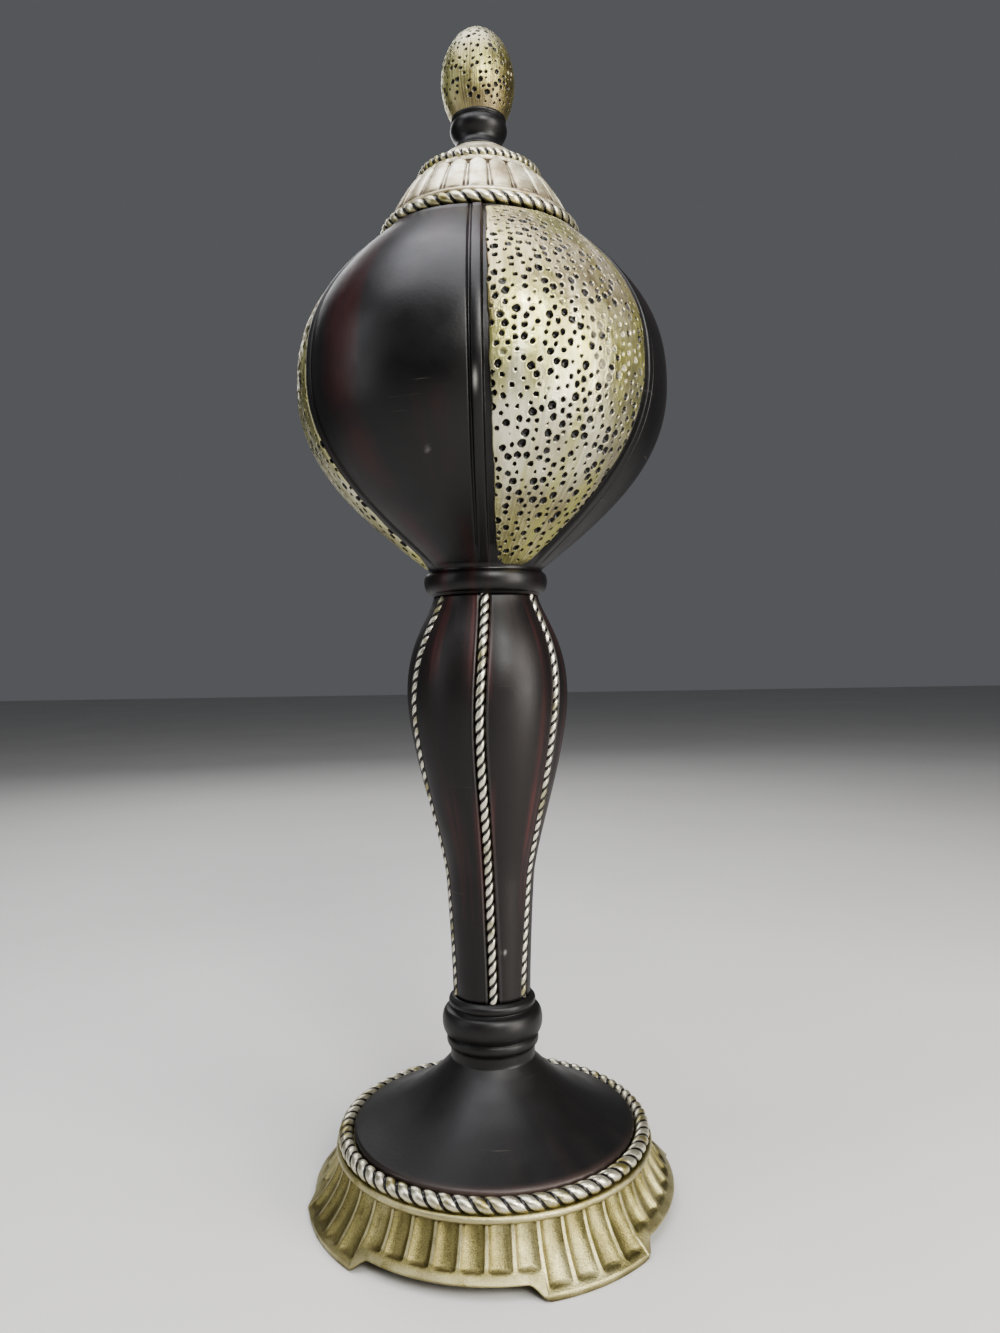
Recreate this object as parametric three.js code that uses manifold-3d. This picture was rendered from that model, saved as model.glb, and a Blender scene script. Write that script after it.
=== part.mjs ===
// A tall table finial, cast and painted: a footed and fluted plinth with a rope rim, a dark
// trumpet foot with a collar, a six-lobed stem with twisted cords, a panelled bulb, a gadrooned
// cap between two ropes, and an egg-shaped knob. Millimetres, +Z up, the origin on the table under
// the middle of the plinth. Angles are measured from the front (-Y) towards the right (+X).

import * as THREE from "three";
import { mergeVertices } from "three/addons/utils/BufferGeometryUtils.js";
import Module from "manifold-3d";

const wasm = await Module();
wasm.setup();

const TURN = 2 * Math.PI;
const degrees = THREE.MathUtils.degToRad;

// The clearance between two pieces that stand on or in one another.
const fitGap = 0.3;

// The plinth: a skirt that sweeps out to four feet, with arches between the feet.
const plinthHeight = 30;
const plinthRadius = 88.2;
const skirtTopRadius = 74.1;
const skirtTopLevel = 24.5;
const footBand = 2.8;
const archHeight = 5.8;
const footCount = 4;
const footSpread = degrees(34);
const footDepth = 21;
const footTurn = degrees(30.6);
const archShoulder = degrees(2.6);
const fluteCount = 44;
const fluteDepth = 1.9;
const longFlutesPerFoot = 4;
const longFluteEnd = 4;
const shortFluteEnd = 9;
const beadThickness = 3.4;

// The rope round the plinth's rim.
const rimRopeRadius = 70.8;
const rimRopeThickness = 7;
const rimRopeLift = 0.5;

// The dark foot: a shallow trumpet with a turned collar.
const pedestalHeight = 63.7;
const pedestalEdge = 3.4;
const pedestalNeckRadius = 20.2;
const pedestalNeckLevel = 34;
const collarRadius = 24.1;

// The stem: six lobes with a cord sunk in each seam.
const stemHeight = 190;
const stemFootRadius = 18.5;
const stemCalfRadius = 21.1;
const stemCalfLevel = 56;
const stemSwellRadius = 38.4;
const stemSwellLevel = 144;
const stemTopRadius = 24.9;
const lobeCount = 6;
const lobeFall = 0.04;
const seamDepth = 1.7;
const cordWidth = 4.2;
const cordProud = 2.8;
const seamLip = 1.1;

// How many degrees each seam leans off its even place, from the stem's foot up to its top at
// equal steps. The cords were laid by hand, so no two lean alike.
const seamLeans = [
  [2.6, -1.8, -5.3, -0.5],
  [-1.7, 5, -2, 4],
  [2, 3, -2, 0],
  [0, -2, 3, 0],
  [-4, -6, -2, 0],
  [-14, -17, -8, 2],
];

// The bulb: a neck ring below six panels, three pitted and three plain with raised ribs.
const bulbHeight = 166.2;
const bulbRadius = 87.1;
const bulbBellyLevel = 96.2;
const bulbTopRadius = 49.5;
const bulbTopLip = 1.6;
const neckRingRadius = 29;
const neckRingHeight = 12.5;
const neckWaistRadius = 27.1;
const panelPairs = 3;
const panelTurn = degrees(29);
const ribTurn = degrees(29.6);
const ribWidth = 4.8;
const panelGroove = 2.8;
const fineGroove = 0.9;
const grooveDepth = 2.2;
const pillowFall = 1.3;

// The cap: a gadrooned band between two ropes.
const capHeight = 43.7;
const capBaseInset = 7;
const baseRopeInset = 5.2;
const baseRopeThickness = 6.4;
const capFilletRadius = 43.3;
const capFilletLevel = 8.2;
const gadroonBaseRadius = 42.2;
const gadroonTopRadius = 31;
const gadroonBaseLevel = 9.4;
const gadroonTopLevel = 27.5;
const gadroonBulge = 1;
const gadroonCount = 24;
const gadroonDepth = 0.9;
const topRopeRadius = 27.2;
const topRopeThickness = 5;
const topRopeLevel = 31.3;

// The knob: a waisted collar that carries a pitted egg.
const knobWaistRadius = 11.1;
const knobCollarRadius = 13.6;
const knobCollarHeight = 17;
const eggRadius = 17.4;
const eggHeight = 50.8;
const knobSeatRadius = 13.2;

// Levels of the pieces above the table, each from the one below it.
const pedestalLevel = plinthHeight + fitGap;
const stemLevel = pedestalLevel + pedestalHeight + fitGap;
const bulbLevel = stemLevel + stemHeight + fitGap;
const capLevel = bulbLevel + bulbHeight + fitGap;
const knobLevel = capLevel + capHeight + fitGap;

// How finely the pieces are divided round the axis. Every rope has a strand for two columns.
const columnsPerStrand = 2;
const columnsPerFlute = 3;
const columnsPerGadroon = 4;
const pedestalColumns = 28;
const recessColumns = 32;
const knobColumns = 18;
const snap = 1e-6;

const at = (radius, level) => new THREE.Vector2(radius, level);

const mix = (from, to, share) => from + (to - from) * share;

// Points along a cubic curve in the plane of radius and level, its first point left out.
function sweep(start, pull, push, end, steps) {
  return new THREE.CubicBezierCurve(start, pull, push, end).getPoints(steps).slice(1);
}

// A closed surface as a solid, without the triangles that collapse on the axis.
function solidFrom(geometry) {
  geometry.deleteAttribute("normal");
  geometry.deleteAttribute("uv");
  const merged = mergeVertices(geometry, snap * 10);
  const corners = merged.index.array;
  const kept = [];
  for (let i = 0; i < corners.length; i += 3) {
    const [a, b, c] = corners.slice(i, i + 3);
    if (a !== b && b !== c && c !== a) kept.push(a, b, c);
  }
  return new wasm.Manifold(
    new wasm.Mesh({
      numProp: 3,
      vertProperties: new Float32Array(merged.getAttribute("position").array),
      triVerts: new Uint32Array(kept),
    }),
  );
}

// A turned solid whose columns can be carved: carve moves a point of the outline at one column
// and returns its radius, level and angle.
function turned(outline, angles, carve = (point, angle) => [point.x, point.y, angle]) {
  const lathe = new THREE.LatheGeometry(outline, angles.length);
  const position = lathe.getAttribute("position");
  const rounded = (value) => Math.round(value / snap) * snap;
  for (let i = 0; i < position.count; i += 1) {
    const column = Math.floor(i / outline.length);
    const row = i % outline.length;
    const point = outline[row];
    const place = column < angles.length ? angles[column] : angles[0] + TURN;
    const carved = point.x === 0 ? [0, point.y, 0] : carve(point, place, row, column);
    const [radius, level, angle] = carved;
    position.setXYZ(
      i,
      rounded(radius * Math.sin(angle)),
      rounded(-radius * Math.cos(angle)),
      rounded(level),
    );
  }
  return solidFrom(lathe);
}

function evenAngles(count, start = 0) {
  return Array.from({ length: count }, (_, i) => start + (i * TURN) / count);
}

// The section of a rope that lies in an outline, from its outer underside over to its inside.
function ropeSection(radius, level, thickness, fromDegrees, toDegrees, rows) {
  return Array.from({ length: rows }, (_, i) => {
    const angle = degrees(mix(fromDegrees, toDegrees, i / (rows - 1)));
    const reach = thickness / 2;
    const point = at(radius + reach * Math.cos(angle), level + reach * Math.sin(angle));
    point.rope = at(radius, level);
    return point;
  });
}

// Strands leaning across a rope: every other column is drawn in, one column further on each row.
function strandAt(point, row, column) {
  const drawnIn = (row + column) % columnsPerStrand === 0 ? 0.72 : 1.04;
  return point.clone().sub(point.rope).multiplyScalar(drawnIn).add(point.rope);
}

// The skirt's outline from its foot up to the bead, as a share of the way up.
function skirtPoint(share) {
  const curve = new THREE.QuadraticBezierCurve(
    at(plinthRadius, footBand),
    at(mix(skirtTopRadius, plinthRadius, 0.14), mix(footBand, skirtTopLevel, 0.55)),
    at(skirtTopRadius, skirtTopLevel),
  );
  return curve.getPoint(share);
}

// The share of the way up at which the skirt's outline reaches a level.
function skirtShare(level) {
  let low = 0;
  let high = 1;
  for (let i = 0; i < 30; i += 1) {
    const middle = (low + high) / 2;
    if (skirtPoint(middle).y < level) low = middle;
    else high = middle;
  }
  return (low + high) / 2;
}

// The plinth down to the table, before its arches are cut: flutes, a bead and the rope.
function skirt() {
  const fluteRows = 3;
  const stepShare = 0.03;
  const pitch = TURN / fluteCount;
  const firstFlute = footTurn - (longFlutesPerFoot / 2) * pitch;
  const flutesPerFoot = fluteCount / footCount;
  const flutes = Array.from({ length: fluteRows + 1 }, () => at(skirtTopRadius, skirtTopLevel));
  const outline = [
    at(0, 0),
    at(plinthRadius, 0),
    at(plinthRadius, footBand),
    ...flutes,
    at(skirtTopRadius + beadThickness / 3, skirtTopLevel + beadThickness / 2),
    ...ropeSection(rimRopeRadius, plinthHeight + rimRopeLift, rimRopeThickness, -35, 135, 4),
    at(rimRopeRadius - rimRopeThickness / 2, plinthHeight),
    at(0, plinthHeight),
  ];
  const firstFluteRow = 3;
  const lastFluteRow = firstFluteRow + fluteRows;

  const angles = evenAngles(fluteCount * columnsPerFlute, firstFlute);
  return turned(outline, angles, (point, angle, row, column) => {
    if (point.rope) {
      const strand = strandAt(point, row, column);
      return [strand.x, strand.y, angle];
    }
    if (row < firstFluteRow || row > lastFluteRow) return [point.x, point.y, angle];
    const flute = Math.floor(column / columnsPerFlute) % fluteCount;
    const onArris = column % columnsPerFlute === 0;
    const long = flute % flutesPerFoot < longFlutesPerFoot;
    const endShare = skirtShare(long ? longFluteEnd : shortFluteEnd);
    const step = row - firstFluteRow;
    const share = step === 0 ? endShare : mix(endShare + stepShare, 1, (step - 1) / (fluteRows - 1));
    const place = skirtPoint(share);
    const depth = step === 0 || onArris ? 0 : fluteDepth;
    return [place.x - depth, place.y, angle];
  });
}

// A block that clears an arch between two feet up to a level, widened or narrowed by an angle.
function archCutter(middle, widen, level) {
  const outer = plinthRadius * 1.2;
  const inner = plinthRadius - footDepth;
  const half = (TURN / footCount - footSpread) / 2 + widen;
  const steps = 6;
  const shape = new THREE.Shape();
  const point = (radius, angle) => [radius * Math.sin(angle), -radius * Math.cos(angle)];
  shape.moveTo(...point(inner, middle - half));
  for (let i = 0; i <= steps; i += 1) {
    shape.lineTo(...point(outer, middle + mix(-half, half, i / steps)));
  }
  shape.lineTo(...point(inner, middle + half));
  const block = new THREE.ExtrudeGeometry(shape, { depth: level * 2, bevelEnabled: false });
  block.translate(0, 0, -level);
  return solidFrom(block);
}

function plinthSolid() {
  const recessRadius = plinthRadius - footDepth;
  const recess = turned(
    [
      at(0, -archHeight),
      at(recessRadius, -archHeight),
      at(recessRadius, archHeight),
      at(0, archHeight),
    ],
    evenAngles(recessColumns, footTurn),
  );
  let body = skirt().subtract(recess);
  for (let foot = 0; foot < footCount; foot += 1) {
    const middle = footTurn + ((foot + 0.5) * TURN) / footCount;
    body = body
      .subtract(archCutter(middle, 0, archHeight / 2))
      .subtract(archCutter(middle, -archShoulder, archHeight));
  }
  return body;
}

// The dark foot: a disc inside the rope, a trumpet up to the neck, and the collar above it.
function pedestalSolid() {
  const discRadius = rimRopeRadius - rimRopeThickness / 2 - fitGap;
  const rise = pedestalNeckLevel - pedestalEdge;
  const trumpet = new THREE.SplineCurve([
    at(discRadius, pedestalEdge),
    at(mix(pedestalNeckRadius, discRadius, 0.72), pedestalEdge + rise * 0.19),
    at(mix(pedestalNeckRadius, discRadius, 0.44), pedestalEdge + rise * 0.42),
    at(mix(pedestalNeckRadius, discRadius, 0.22), pedestalEdge + rise * 0.66),
    at(mix(pedestalNeckRadius, discRadius, 0.08), pedestalEdge + rise * 0.86),
    at(pedestalNeckRadius, pedestalNeckLevel),
  ]).getPoints(5);
  const collar = pedestalHeight - pedestalNeckLevel;
  const lift = (share) => pedestalNeckLevel + collar * share;
  const outline = [
    at(0, 0),
    at(discRadius, 0),
    ...trumpet,
    at(pedestalNeckRadius, lift(0.18)),
    at(mix(pedestalNeckRadius, collarRadius, 0.46), lift(0.26)),
    at(mix(pedestalNeckRadius, collarRadius, 0.46), lift(0.36)),
    ...sweep(
      at(mix(pedestalNeckRadius, collarRadius, 0.4), lift(0.38)),
      at(collarRadius + 0.9, lift(0.42)),
      at(collarRadius + 0.9, lift(0.76)),
      at(mix(pedestalNeckRadius, collarRadius, 0.25), lift(0.8)),
      4,
    ),
    at(stemFootRadius + 2.4, lift(0.86)),
    at(stemFootRadius + 2.1, lift(0.96)),
    at(stemFootRadius + 1.2, pedestalHeight),
    at(0, pedestalHeight),
  ];
  return turned(outline, evenAngles(pedestalColumns));
}

// The stem's outline at the crest of its lobes.
function stemOutline() {
  const foot = at(stemFootRadius, 0);
  const calf = at(stemCalfRadius, stemCalfLevel);
  const swell = at(stemSwellRadius, stemSwellLevel);
  const top = at(stemTopRadius, stemHeight);
  const climb = stemSwellLevel - stemCalfLevel;
  const neck = stemHeight - stemSwellLevel;
  return [
    foot,
    ...sweep(
      foot,
      at(mix(stemFootRadius, stemCalfRadius, 0.15), stemCalfLevel * 0.35),
      at(mix(stemFootRadius, stemCalfRadius, 0.55), stemCalfLevel * 0.7),
      calf,
      2,
    ),
    ...sweep(
      calf,
      at(mix(stemCalfRadius, stemSwellRadius, 0.09), stemCalfLevel + climb * 0.21),
      at(stemSwellRadius, stemCalfLevel + climb * 0.69),
      swell,
      5,
    ),
    ...sweep(
      swell,
      at(stemSwellRadius, stemSwellLevel + neck * 0.54),
      at(mix(stemTopRadius, stemSwellRadius, 0.16), stemSwellLevel + neck * 0.79),
      top,
      4,
    ),
  ];
}

// The angle of a seam at a level: its even place round the stem and its own lean.
function seamAngle(seam, level) {
  const leans = seamLeans[(seam + lobeCount) % lobeCount];
  const line = new THREE.SplineCurve(leans.map((lean, i) => at(i, lean)));
  return (seam * TURN) / lobeCount + degrees(line.getPoint(level / stemHeight).y);
}

function stemSolid() {
  const outline = [at(0, 0), ...stemOutline(), at(0, stemHeight)];
  const columns = 8;
  const angles = evenAngles(lobeCount * columns);
  return turned(outline, angles, (point, angle, row, column) => {
    const radius = point.x;
    const level = point.y;
    const seam = Math.round(column / columns);
    const step = column - seam * columns;
    const side = step < 0 ? -1 : 1;
    const place = Math.abs(step);
    const seamPlace = seamAngle(seam, level);
    const halfLobe = Math.abs(seamAngle(seam + side, level) - seamPlace) / 2;
    const cordEdge = cordWidth / 2 / radius;
    const lipEdge = (cordWidth / 2 + seamLip) / radius;
    const offsets = [0, cordEdge, lipEdge, mix(lipEdge, halfLobe, 0.45), halfLobe];
    const offset = offsets[place];
    const crestShare = 1 - offset / halfLobe;
    const lobe = radius * (1 - lobeFall * crestShare * crestShare);
    const reach = [lobe - seamDepth + cordProud, lobe - seamDepth, lobe, lobe, lobe][place];
    return [reach, level, seamPlace + side * offset];
  });
}

// The outline of the panels from the neck up to the top lip.
function bulbOutline() {
  const start = at(neckWaistRadius, neckRingHeight);
  const belly = at(bulbRadius, bulbBellyLevel);
  const top = at(bulbTopRadius, bulbHeight - bulbTopLip);
  const below = bulbBellyLevel - neckRingHeight;
  const above = top.y - bulbBellyLevel;
  return [
    ...sweep(
      start,
      at(mix(neckWaistRadius, bulbRadius, 0.63), neckRingHeight + below * 0.35),
      at(bulbRadius, neckRingHeight + below * 0.61),
      belly,
      6,
    ),
    ...sweep(
      belly,
      at(bulbRadius, bulbBellyLevel + above * 0.31),
      at(mix(bulbTopRadius, bulbRadius, 0.89), bulbBellyLevel + above * 0.59),
      top,
      5,
    ),
  ];
}

// The panels' section. Each column knows its angle where the bulb has a certain radius, because
// ribs and grooves keep their width all the way down, and how far it lies below that radius.
function panelColumns() {
  const pairAngle = TURN / panelPairs;
  const ribEdge = ribWidth / 2;
  const pillowEdge = ribEdge + fineGroove;
  const beside = (offset) => (radius) => ribTurn + offset / radius;
  const pitted = (share) => (radius) => share * beside(-ribEdge - panelGroove)(radius);
  const pillow = (share) => (radius) => mix(beside(pillowEdge)(radius), pairAngle / 2, share);
  const half = [
    [pitted(0.35), 0],
    [pitted(0.7), pillowFall * 0.3],
    [pitted(1), pillowFall],
    [beside(-ribEdge - panelGroove / 2), grooveDepth],
    [beside(-ribEdge), pillowFall * 0.4],
    [beside(ribEdge), pillowFall * 0.4],
    [pillow(0), pillowFall * 1.3],
    [pillow(0.3), pillowFall * 0.35],
  ];
  const mirrored = half.map(([place, fall]) => [(radius) => pairAngle - place(radius), fall]);
  const pair = [[pitted(0), 0], ...half, [pillow(1), 0], ...mirrored.reverse()];
  const columns = [];
  for (let i = 0; i < panelPairs; i += 1) {
    const turn = panelTurn + i * pairAngle;
    for (const [place, fall] of pair) columns.push([(radius) => turn + place(radius), fall]);
  }
  return columns;
}

function bulbSolid() {
  const ring = [
    ...sweep(
      at(stemTopRadius, 0.6),
      at(neckRingRadius + 1.3, 0.6),
      at(neckRingRadius + 1.3, neckRingHeight * 0.82),
      at(neckWaistRadius, neckRingHeight * 0.87),
      4,
    ),
    at(neckWaistRadius, neckRingHeight),
  ];
  const panels = bulbOutline();
  const seat = at(bulbTopRadius - bulbTopLip, bulbHeight);
  const outline = [at(0, 0), at(stemTopRadius + 1, 0), ...ring, ...panels, seat, at(0, bulbHeight)];
  const firstPanelRow = 2 + ring.length;
  const lastPanelRow = firstPanelRow + panels.length - 1;
  const columns = panelColumns();
  return turned(outline, evenAngles(columns.length), (point, angle, row, column) => {
    const [place, fall] = columns[column % columns.length];
    const onPanels = row >= firstPanelRow && row <= lastPanelRow;
    const fullness = onPanels ? Math.min(1, (row - firstPanelRow + 1) / 2) : 0;
    return [point.x - fall * fullness, point.y, place(point.x)];
  });
}

// The cap: a base disc, a rope, a fillet, the gadrooned band, a second rope and a low dome.
function capSolid() {
  const bandRows = 2;
  const band = [];
  for (let i = 0; i <= bandRows; i += 1) {
    const share = i / bandRows;
    const point = at(
      mix(gadroonBaseRadius, gadroonTopRadius, share) + gadroonBulge * Math.sin(Math.PI * share),
      mix(gadroonBaseLevel, gadroonTopLevel, share),
    );
    point.seam = i > 0;
    band.push(point);
  }
  const baseRopeLevel = baseRopeThickness / 2 + fitGap;
  const domeLevel = topRopeLevel + topRopeThickness * 0.4;
  const outline = [
    at(0, 0),
    at(bulbTopRadius - capBaseInset, 0),
    ...ropeSection(bulbTopRadius - baseRopeInset, baseRopeLevel, baseRopeThickness, -75, 65, 3),
    at(capFilletRadius, capFilletLevel),
    ...band,
    ...ropeSection(topRopeRadius, topRopeLevel, topRopeThickness, -40, 80, 3),
    at(topRopeRadius - topRopeThickness * 0.4, domeLevel),
    at(knobSeatRadius + 0.6, capHeight),
    at(0, capHeight),
  ];
  const angles = evenAngles(gadroonCount * columnsPerGadroon);
  return turned(outline, angles, (point, angle, row, column) => {
    if (point.rope) {
      const strand = strandAt(point, row, column);
      return [strand.x, strand.y, angle];
    }
    const onSeam = point.seam && column % columnsPerGadroon === 0;
    return [point.x - (onSeam ? gadroonDepth : 0), point.y, angle];
  });
}

function knobSolid() {
  const eggMiddle = knobCollarHeight + Math.sqrt(1 - (knobSeatRadius / eggRadius) ** 2) * eggHeight / 2;
  const eggStart = Math.asin((knobCollarHeight - eggMiddle) / (eggHeight / 2));
  const eggRows = 6;
  const egg = [];
  for (let i = 0; i < eggRows; i += 1) {
    const rise = mix(eggStart, Math.PI / 2, i / eggRows);
    egg.push(at(eggRadius * Math.cos(rise), eggMiddle + (eggHeight / 2) * Math.sin(rise)));
  }
  const outline = [
    at(0, 0),
    at(knobSeatRadius, 0),
    at(knobWaistRadius, knobCollarHeight * 0.3),
    at(mix(knobWaistRadius, knobCollarRadius, 0.65), knobCollarHeight * 0.46),
    at(knobCollarRadius, knobCollarHeight * 0.67),
    at(mix(knobWaistRadius, knobCollarRadius, 0.7), knobCollarHeight * 0.93),
    ...egg,
    at(0, eggMiddle + eggHeight / 2),
  ];
  return turned(outline, evenAngles(knobColumns));
}

// A solid as a named mesh that stands at its own level.
function piece(name, solid, level, look) {
  const mesh = solid.getMesh();
  const geometry = new THREE.BufferGeometry();
  geometry.setAttribute("position", new THREE.BufferAttribute(mesh.vertProperties, 3));
  geometry.setIndex(new THREE.BufferAttribute(mesh.triVerts, 1));
  geometry.computeVertexNormals();
  const made = new THREE.Mesh(geometry, new THREE.MeshStandardMaterial(look));
  made.name = name;
  made.position.set(0, 0, level);
  return made;
}

const antiqueGold = { color: 0x9a9158, roughness: 0.45, metalness: 0.5 };
const darkBronze = { color: 0x1e1b1a, roughness: 0.35, metalness: 0.1 };
const paleGold = { color: 0xb9b294, roughness: 0.4, metalness: 0.5 };

const finial = new THREE.Group();
finial.add(
  piece("plinth", plinthSolid(), 0, antiqueGold),
  piece("pedestal", pedestalSolid(), pedestalLevel, darkBronze),
  piece("stem", stemSolid(), stemLevel, darkBronze),
  piece("bulb", bulbSolid(), bulbLevel, paleGold),
  piece("cap", capSolid(), capLevel, paleGold),
  piece("knob", knobSolid(), knobLevel, paleGold),
);

export default finial;
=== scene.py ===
# %% [markdown]
# A tall table finial, cast in resin and painted to look like old metal. From the table up it has
# a fluted plinth on four feet, a dark trumpet foot, a stem of six lobes with silver cords in the
# seams, a big belly of three pitted gold panels and three dark ones, a gadrooned cap between two
# ropes, and an egg-shaped knob.
# The solids of its pieces are already packed. This file loads them, builds each piece between
# its own solid's levels, and dresses it with its carving and its finish.

# %% Load the frame
import math

import bpy
import numpy as np
from mathutils import Matrix, Vector


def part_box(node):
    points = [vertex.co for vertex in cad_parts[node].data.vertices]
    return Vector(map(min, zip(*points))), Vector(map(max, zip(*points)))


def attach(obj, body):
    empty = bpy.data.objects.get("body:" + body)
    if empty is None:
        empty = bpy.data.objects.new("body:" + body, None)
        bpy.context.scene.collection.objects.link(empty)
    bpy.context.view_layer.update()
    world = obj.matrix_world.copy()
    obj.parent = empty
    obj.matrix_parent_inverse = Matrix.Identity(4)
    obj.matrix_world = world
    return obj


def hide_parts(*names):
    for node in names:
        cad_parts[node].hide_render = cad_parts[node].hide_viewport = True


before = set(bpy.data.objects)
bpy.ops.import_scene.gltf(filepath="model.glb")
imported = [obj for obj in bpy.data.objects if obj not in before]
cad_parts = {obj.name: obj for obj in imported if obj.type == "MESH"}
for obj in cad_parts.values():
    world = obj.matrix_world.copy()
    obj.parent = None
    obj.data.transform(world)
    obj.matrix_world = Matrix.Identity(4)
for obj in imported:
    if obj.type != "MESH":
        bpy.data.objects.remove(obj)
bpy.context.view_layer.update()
print("solids:", sorted(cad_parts))

# %% [markdown]
# The carving is easiest to think of in millimetres and degrees, as a turner would, so the sizes
# below are in millimetres and one factor turns them into Blender's metres. A piece is described
# by its radius and its level above the table, and by an angle that starts at the front, in the
# middle, and grows to the right.

# %% Units and levels
# The fit gap is the clearance that the solids leave between two pieces.
MM = 0.001
TURN = 2 * math.pi
FIT_GAP = 0.3


def node_levels(name):
    """The lowest and highest level of a solid, in millimetres."""
    low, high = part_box(name)
    return low[2] / MM, high[2] / MM


PEDESTAL_LOW, PEDESTAL_HIGH = node_levels("pedestal")
STEM_LOW, STEM_HIGH = node_levels("stem")
BULB_LOW, BULB_HIGH = node_levels("bulb")
CAP_LOW, CAP_HIGH = node_levels("cap")
KNOB_LOW, KNOB_HIGH = node_levels("knob")
PLINTH_SEAT = PEDESTAL_LOW - FIT_GAP
BULB_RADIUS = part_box("bulb")[1][0] / MM
DISC_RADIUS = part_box("pedestal")[1][0] / MM
print("levels:", PLINTH_SEAT, STEM_LOW, BULB_LOW, CAP_LOW, KNOB_LOW, KNOB_HIGH)

# %% [markdown]
# Outlines are drawn with cubic curves, each with two handles, as on a draughtsman's screen. A
# short run of points through which a smooth line passes does for the trumpet of the foot. Both
# give plain arrays, because arrays of radii and levels can be carved by arithmetic.


# %% Curves for the outlines
def mix(low, high, share):
    return low + (high - low) * share


def smooth_step(low, high, value):
    share = np.clip((value - low) / (high - low), 0.0, 1.0)
    return share * share * (3 - 2 * share)


def cubic(start, pull, push, end, steps):
    """Points of a cubic curve after its first, as rows of radius and level."""
    share = np.linspace(0, 1, steps + 1)[1:, None]
    back = 1 - share
    points = [np.array(point, float) for point in (start, pull, push, end)]
    weights = (back**3, 3 * back**2 * share, 3 * back * share**2, share**3)
    return sum(weight * point for weight, point in zip(weights, points))


def curved(start, *arcs):
    """A line of cubic arcs from a start, each with its two handles, its end and its steps."""
    rows = [[start]]
    for pull, push, end, steps in arcs:
        rows.append(cubic(start, pull, push, end, steps))
        start = end
    return np.vstack(rows)


def smooth_at(points, places):
    """Where a uniform Catmull-Rom line through points is at each place, counted in points."""
    points = np.array(points, float)
    index = np.clip(np.floor(places).astype(int), 0, len(points) - 2)
    part = (places - index)[..., None]
    before = points[np.maximum(index - 1, 0)]
    start = points[index]
    end = points[index + 1]
    after = points[np.minimum(index + 2, len(points) - 1)]
    leave = (end - before) / 2
    arrive = (after - start) / 2
    return (
        (2 * start - 2 * end + leave + arrive) * part**3
        + (-3 * start + 3 * end - 2 * leave - arrive) * part**2
        + leave * part
        + start
    )


def evenly(outline, spacing):
    """The same line with points about a spacing apart, and its own points kept."""
    lengths = np.hypot(*np.diff(outline, axis=0).T)
    rows = [outline[:1]]
    for start, end, length in zip(outline[:-1], outline[1:], lengths):
        count = max(1, int(round(length / spacing)))
        rows.append(start + (end - start) * np.linspace(0, 1, count + 1)[1:, None])
    return np.vstack(rows)


# %% [markdown]
# Most of the finial was shaped on a lathe before it was carved, so one function turns arrays of
# radius, level and angle into a closed skin: rings of points, joined by faces, with a fan of
# triangles at either pole. It can also store numbers on the points, which the finishes use to
# know where a hollow, a groove or a rubbed edge is.


# %% Meshes from turned outlines
def in_scene(name, data):
    made = bpy.data.objects.new(name, data)
    bpy.context.scene.collection.objects.link(made)
    return made


def place_round(radius, level, angle):
    """Points, in millimetres, for arrays of radius, level and angle."""
    radius, level, angle = np.broadcast_arrays(radius, level, angle)
    return np.stack([radius * np.sin(angle), -radius * np.cos(angle), level], -1)


def ring_angles(count):
    return np.linspace(0, TURN, count, endpoint=False)[None, :]


def join_rings(index):
    """The faces between rings of points, from the points' numbers as rows by columns."""
    beside = np.roll(index, -1, axis=1)
    return np.stack([index[:-1], beside[:-1], beside[1:], index[1:]], -1).reshape(-1, 4).tolist()


def mesh_object(name, points, faces, notes):
    """A smooth mesh in metres at the origin, with a number a point for each note."""
    mesh = bpy.data.meshes.new(name)
    mesh.from_pydata((points * MM).tolist(), [], faces)
    for note, values in notes.items():
        layer = mesh.attributes.new(note, "FLOAT", "POINT")
        layer.data.foreach_set("value", np.ascontiguousarray(values, np.float32).ravel())
    mesh.shade_smooth()
    return in_scene(name, mesh)


def turned(name, radius, level, angle, poles, notes, finish=None):
    """A closed skin of revolution from arrays of rows by columns, with a pole at each end."""
    rings = place_round(radius, level, angle)
    rows, columns = rings.shape[:2]
    points = np.vstack([[[0, 0, poles[0]]], rings.reshape(-1, 3), [[0, 0, poles[1]]]])
    index = 1 + np.arange(rows * columns).reshape(rows, columns)
    faces = join_rings(index)
    first, last = index[0], index[-1]
    faces += [[0, b, a] for a, b in zip(first.tolist(), np.roll(first, -1).tolist())]
    top = len(points) - 1
    faces += [[top, a, b] for a, b in zip(last.tolist(), np.roll(last, -1).tolist())]
    padded = {}
    for note, values in notes.items():
        padded[note] = np.pad(np.broadcast_to(values, (rows, columns)).ravel(), 1, mode="edge")
    made = mesh_object(name, points, faces, padded)
    if finish:
        made.data.materials.append(finish)
    print(name, len(points), "points,", 2 * rows * columns, "triangles")
    return made


# %% [markdown]
# The finishes and the rule-made pieces are both built as node trees in this script. These short
# helpers add a node, fill its sockets and hand back what it gives, so that a tree reads from top
# to bottom like a recipe.


# %% Helpers for node trees
def shown(sockets, label):
    """The socket with this label that the node's settings leave in use."""
    return next(socket for socket in sockets if socket.name == label and socket.enabled)


def fill(tree, node, inputs):
    """Link or set sockets, which are told by their label or their number."""
    for label, value in inputs.items():
        socket = node.inputs[label] if isinstance(label, int) else shown(node.inputs, label)
        if isinstance(value, bpy.types.NodeSocket):
            tree.links.new(value, socket)
        elif socket.type == "RGBA":
            socket.default_value = (*value, 1.0)
        else:
            socket.default_value = value


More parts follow.
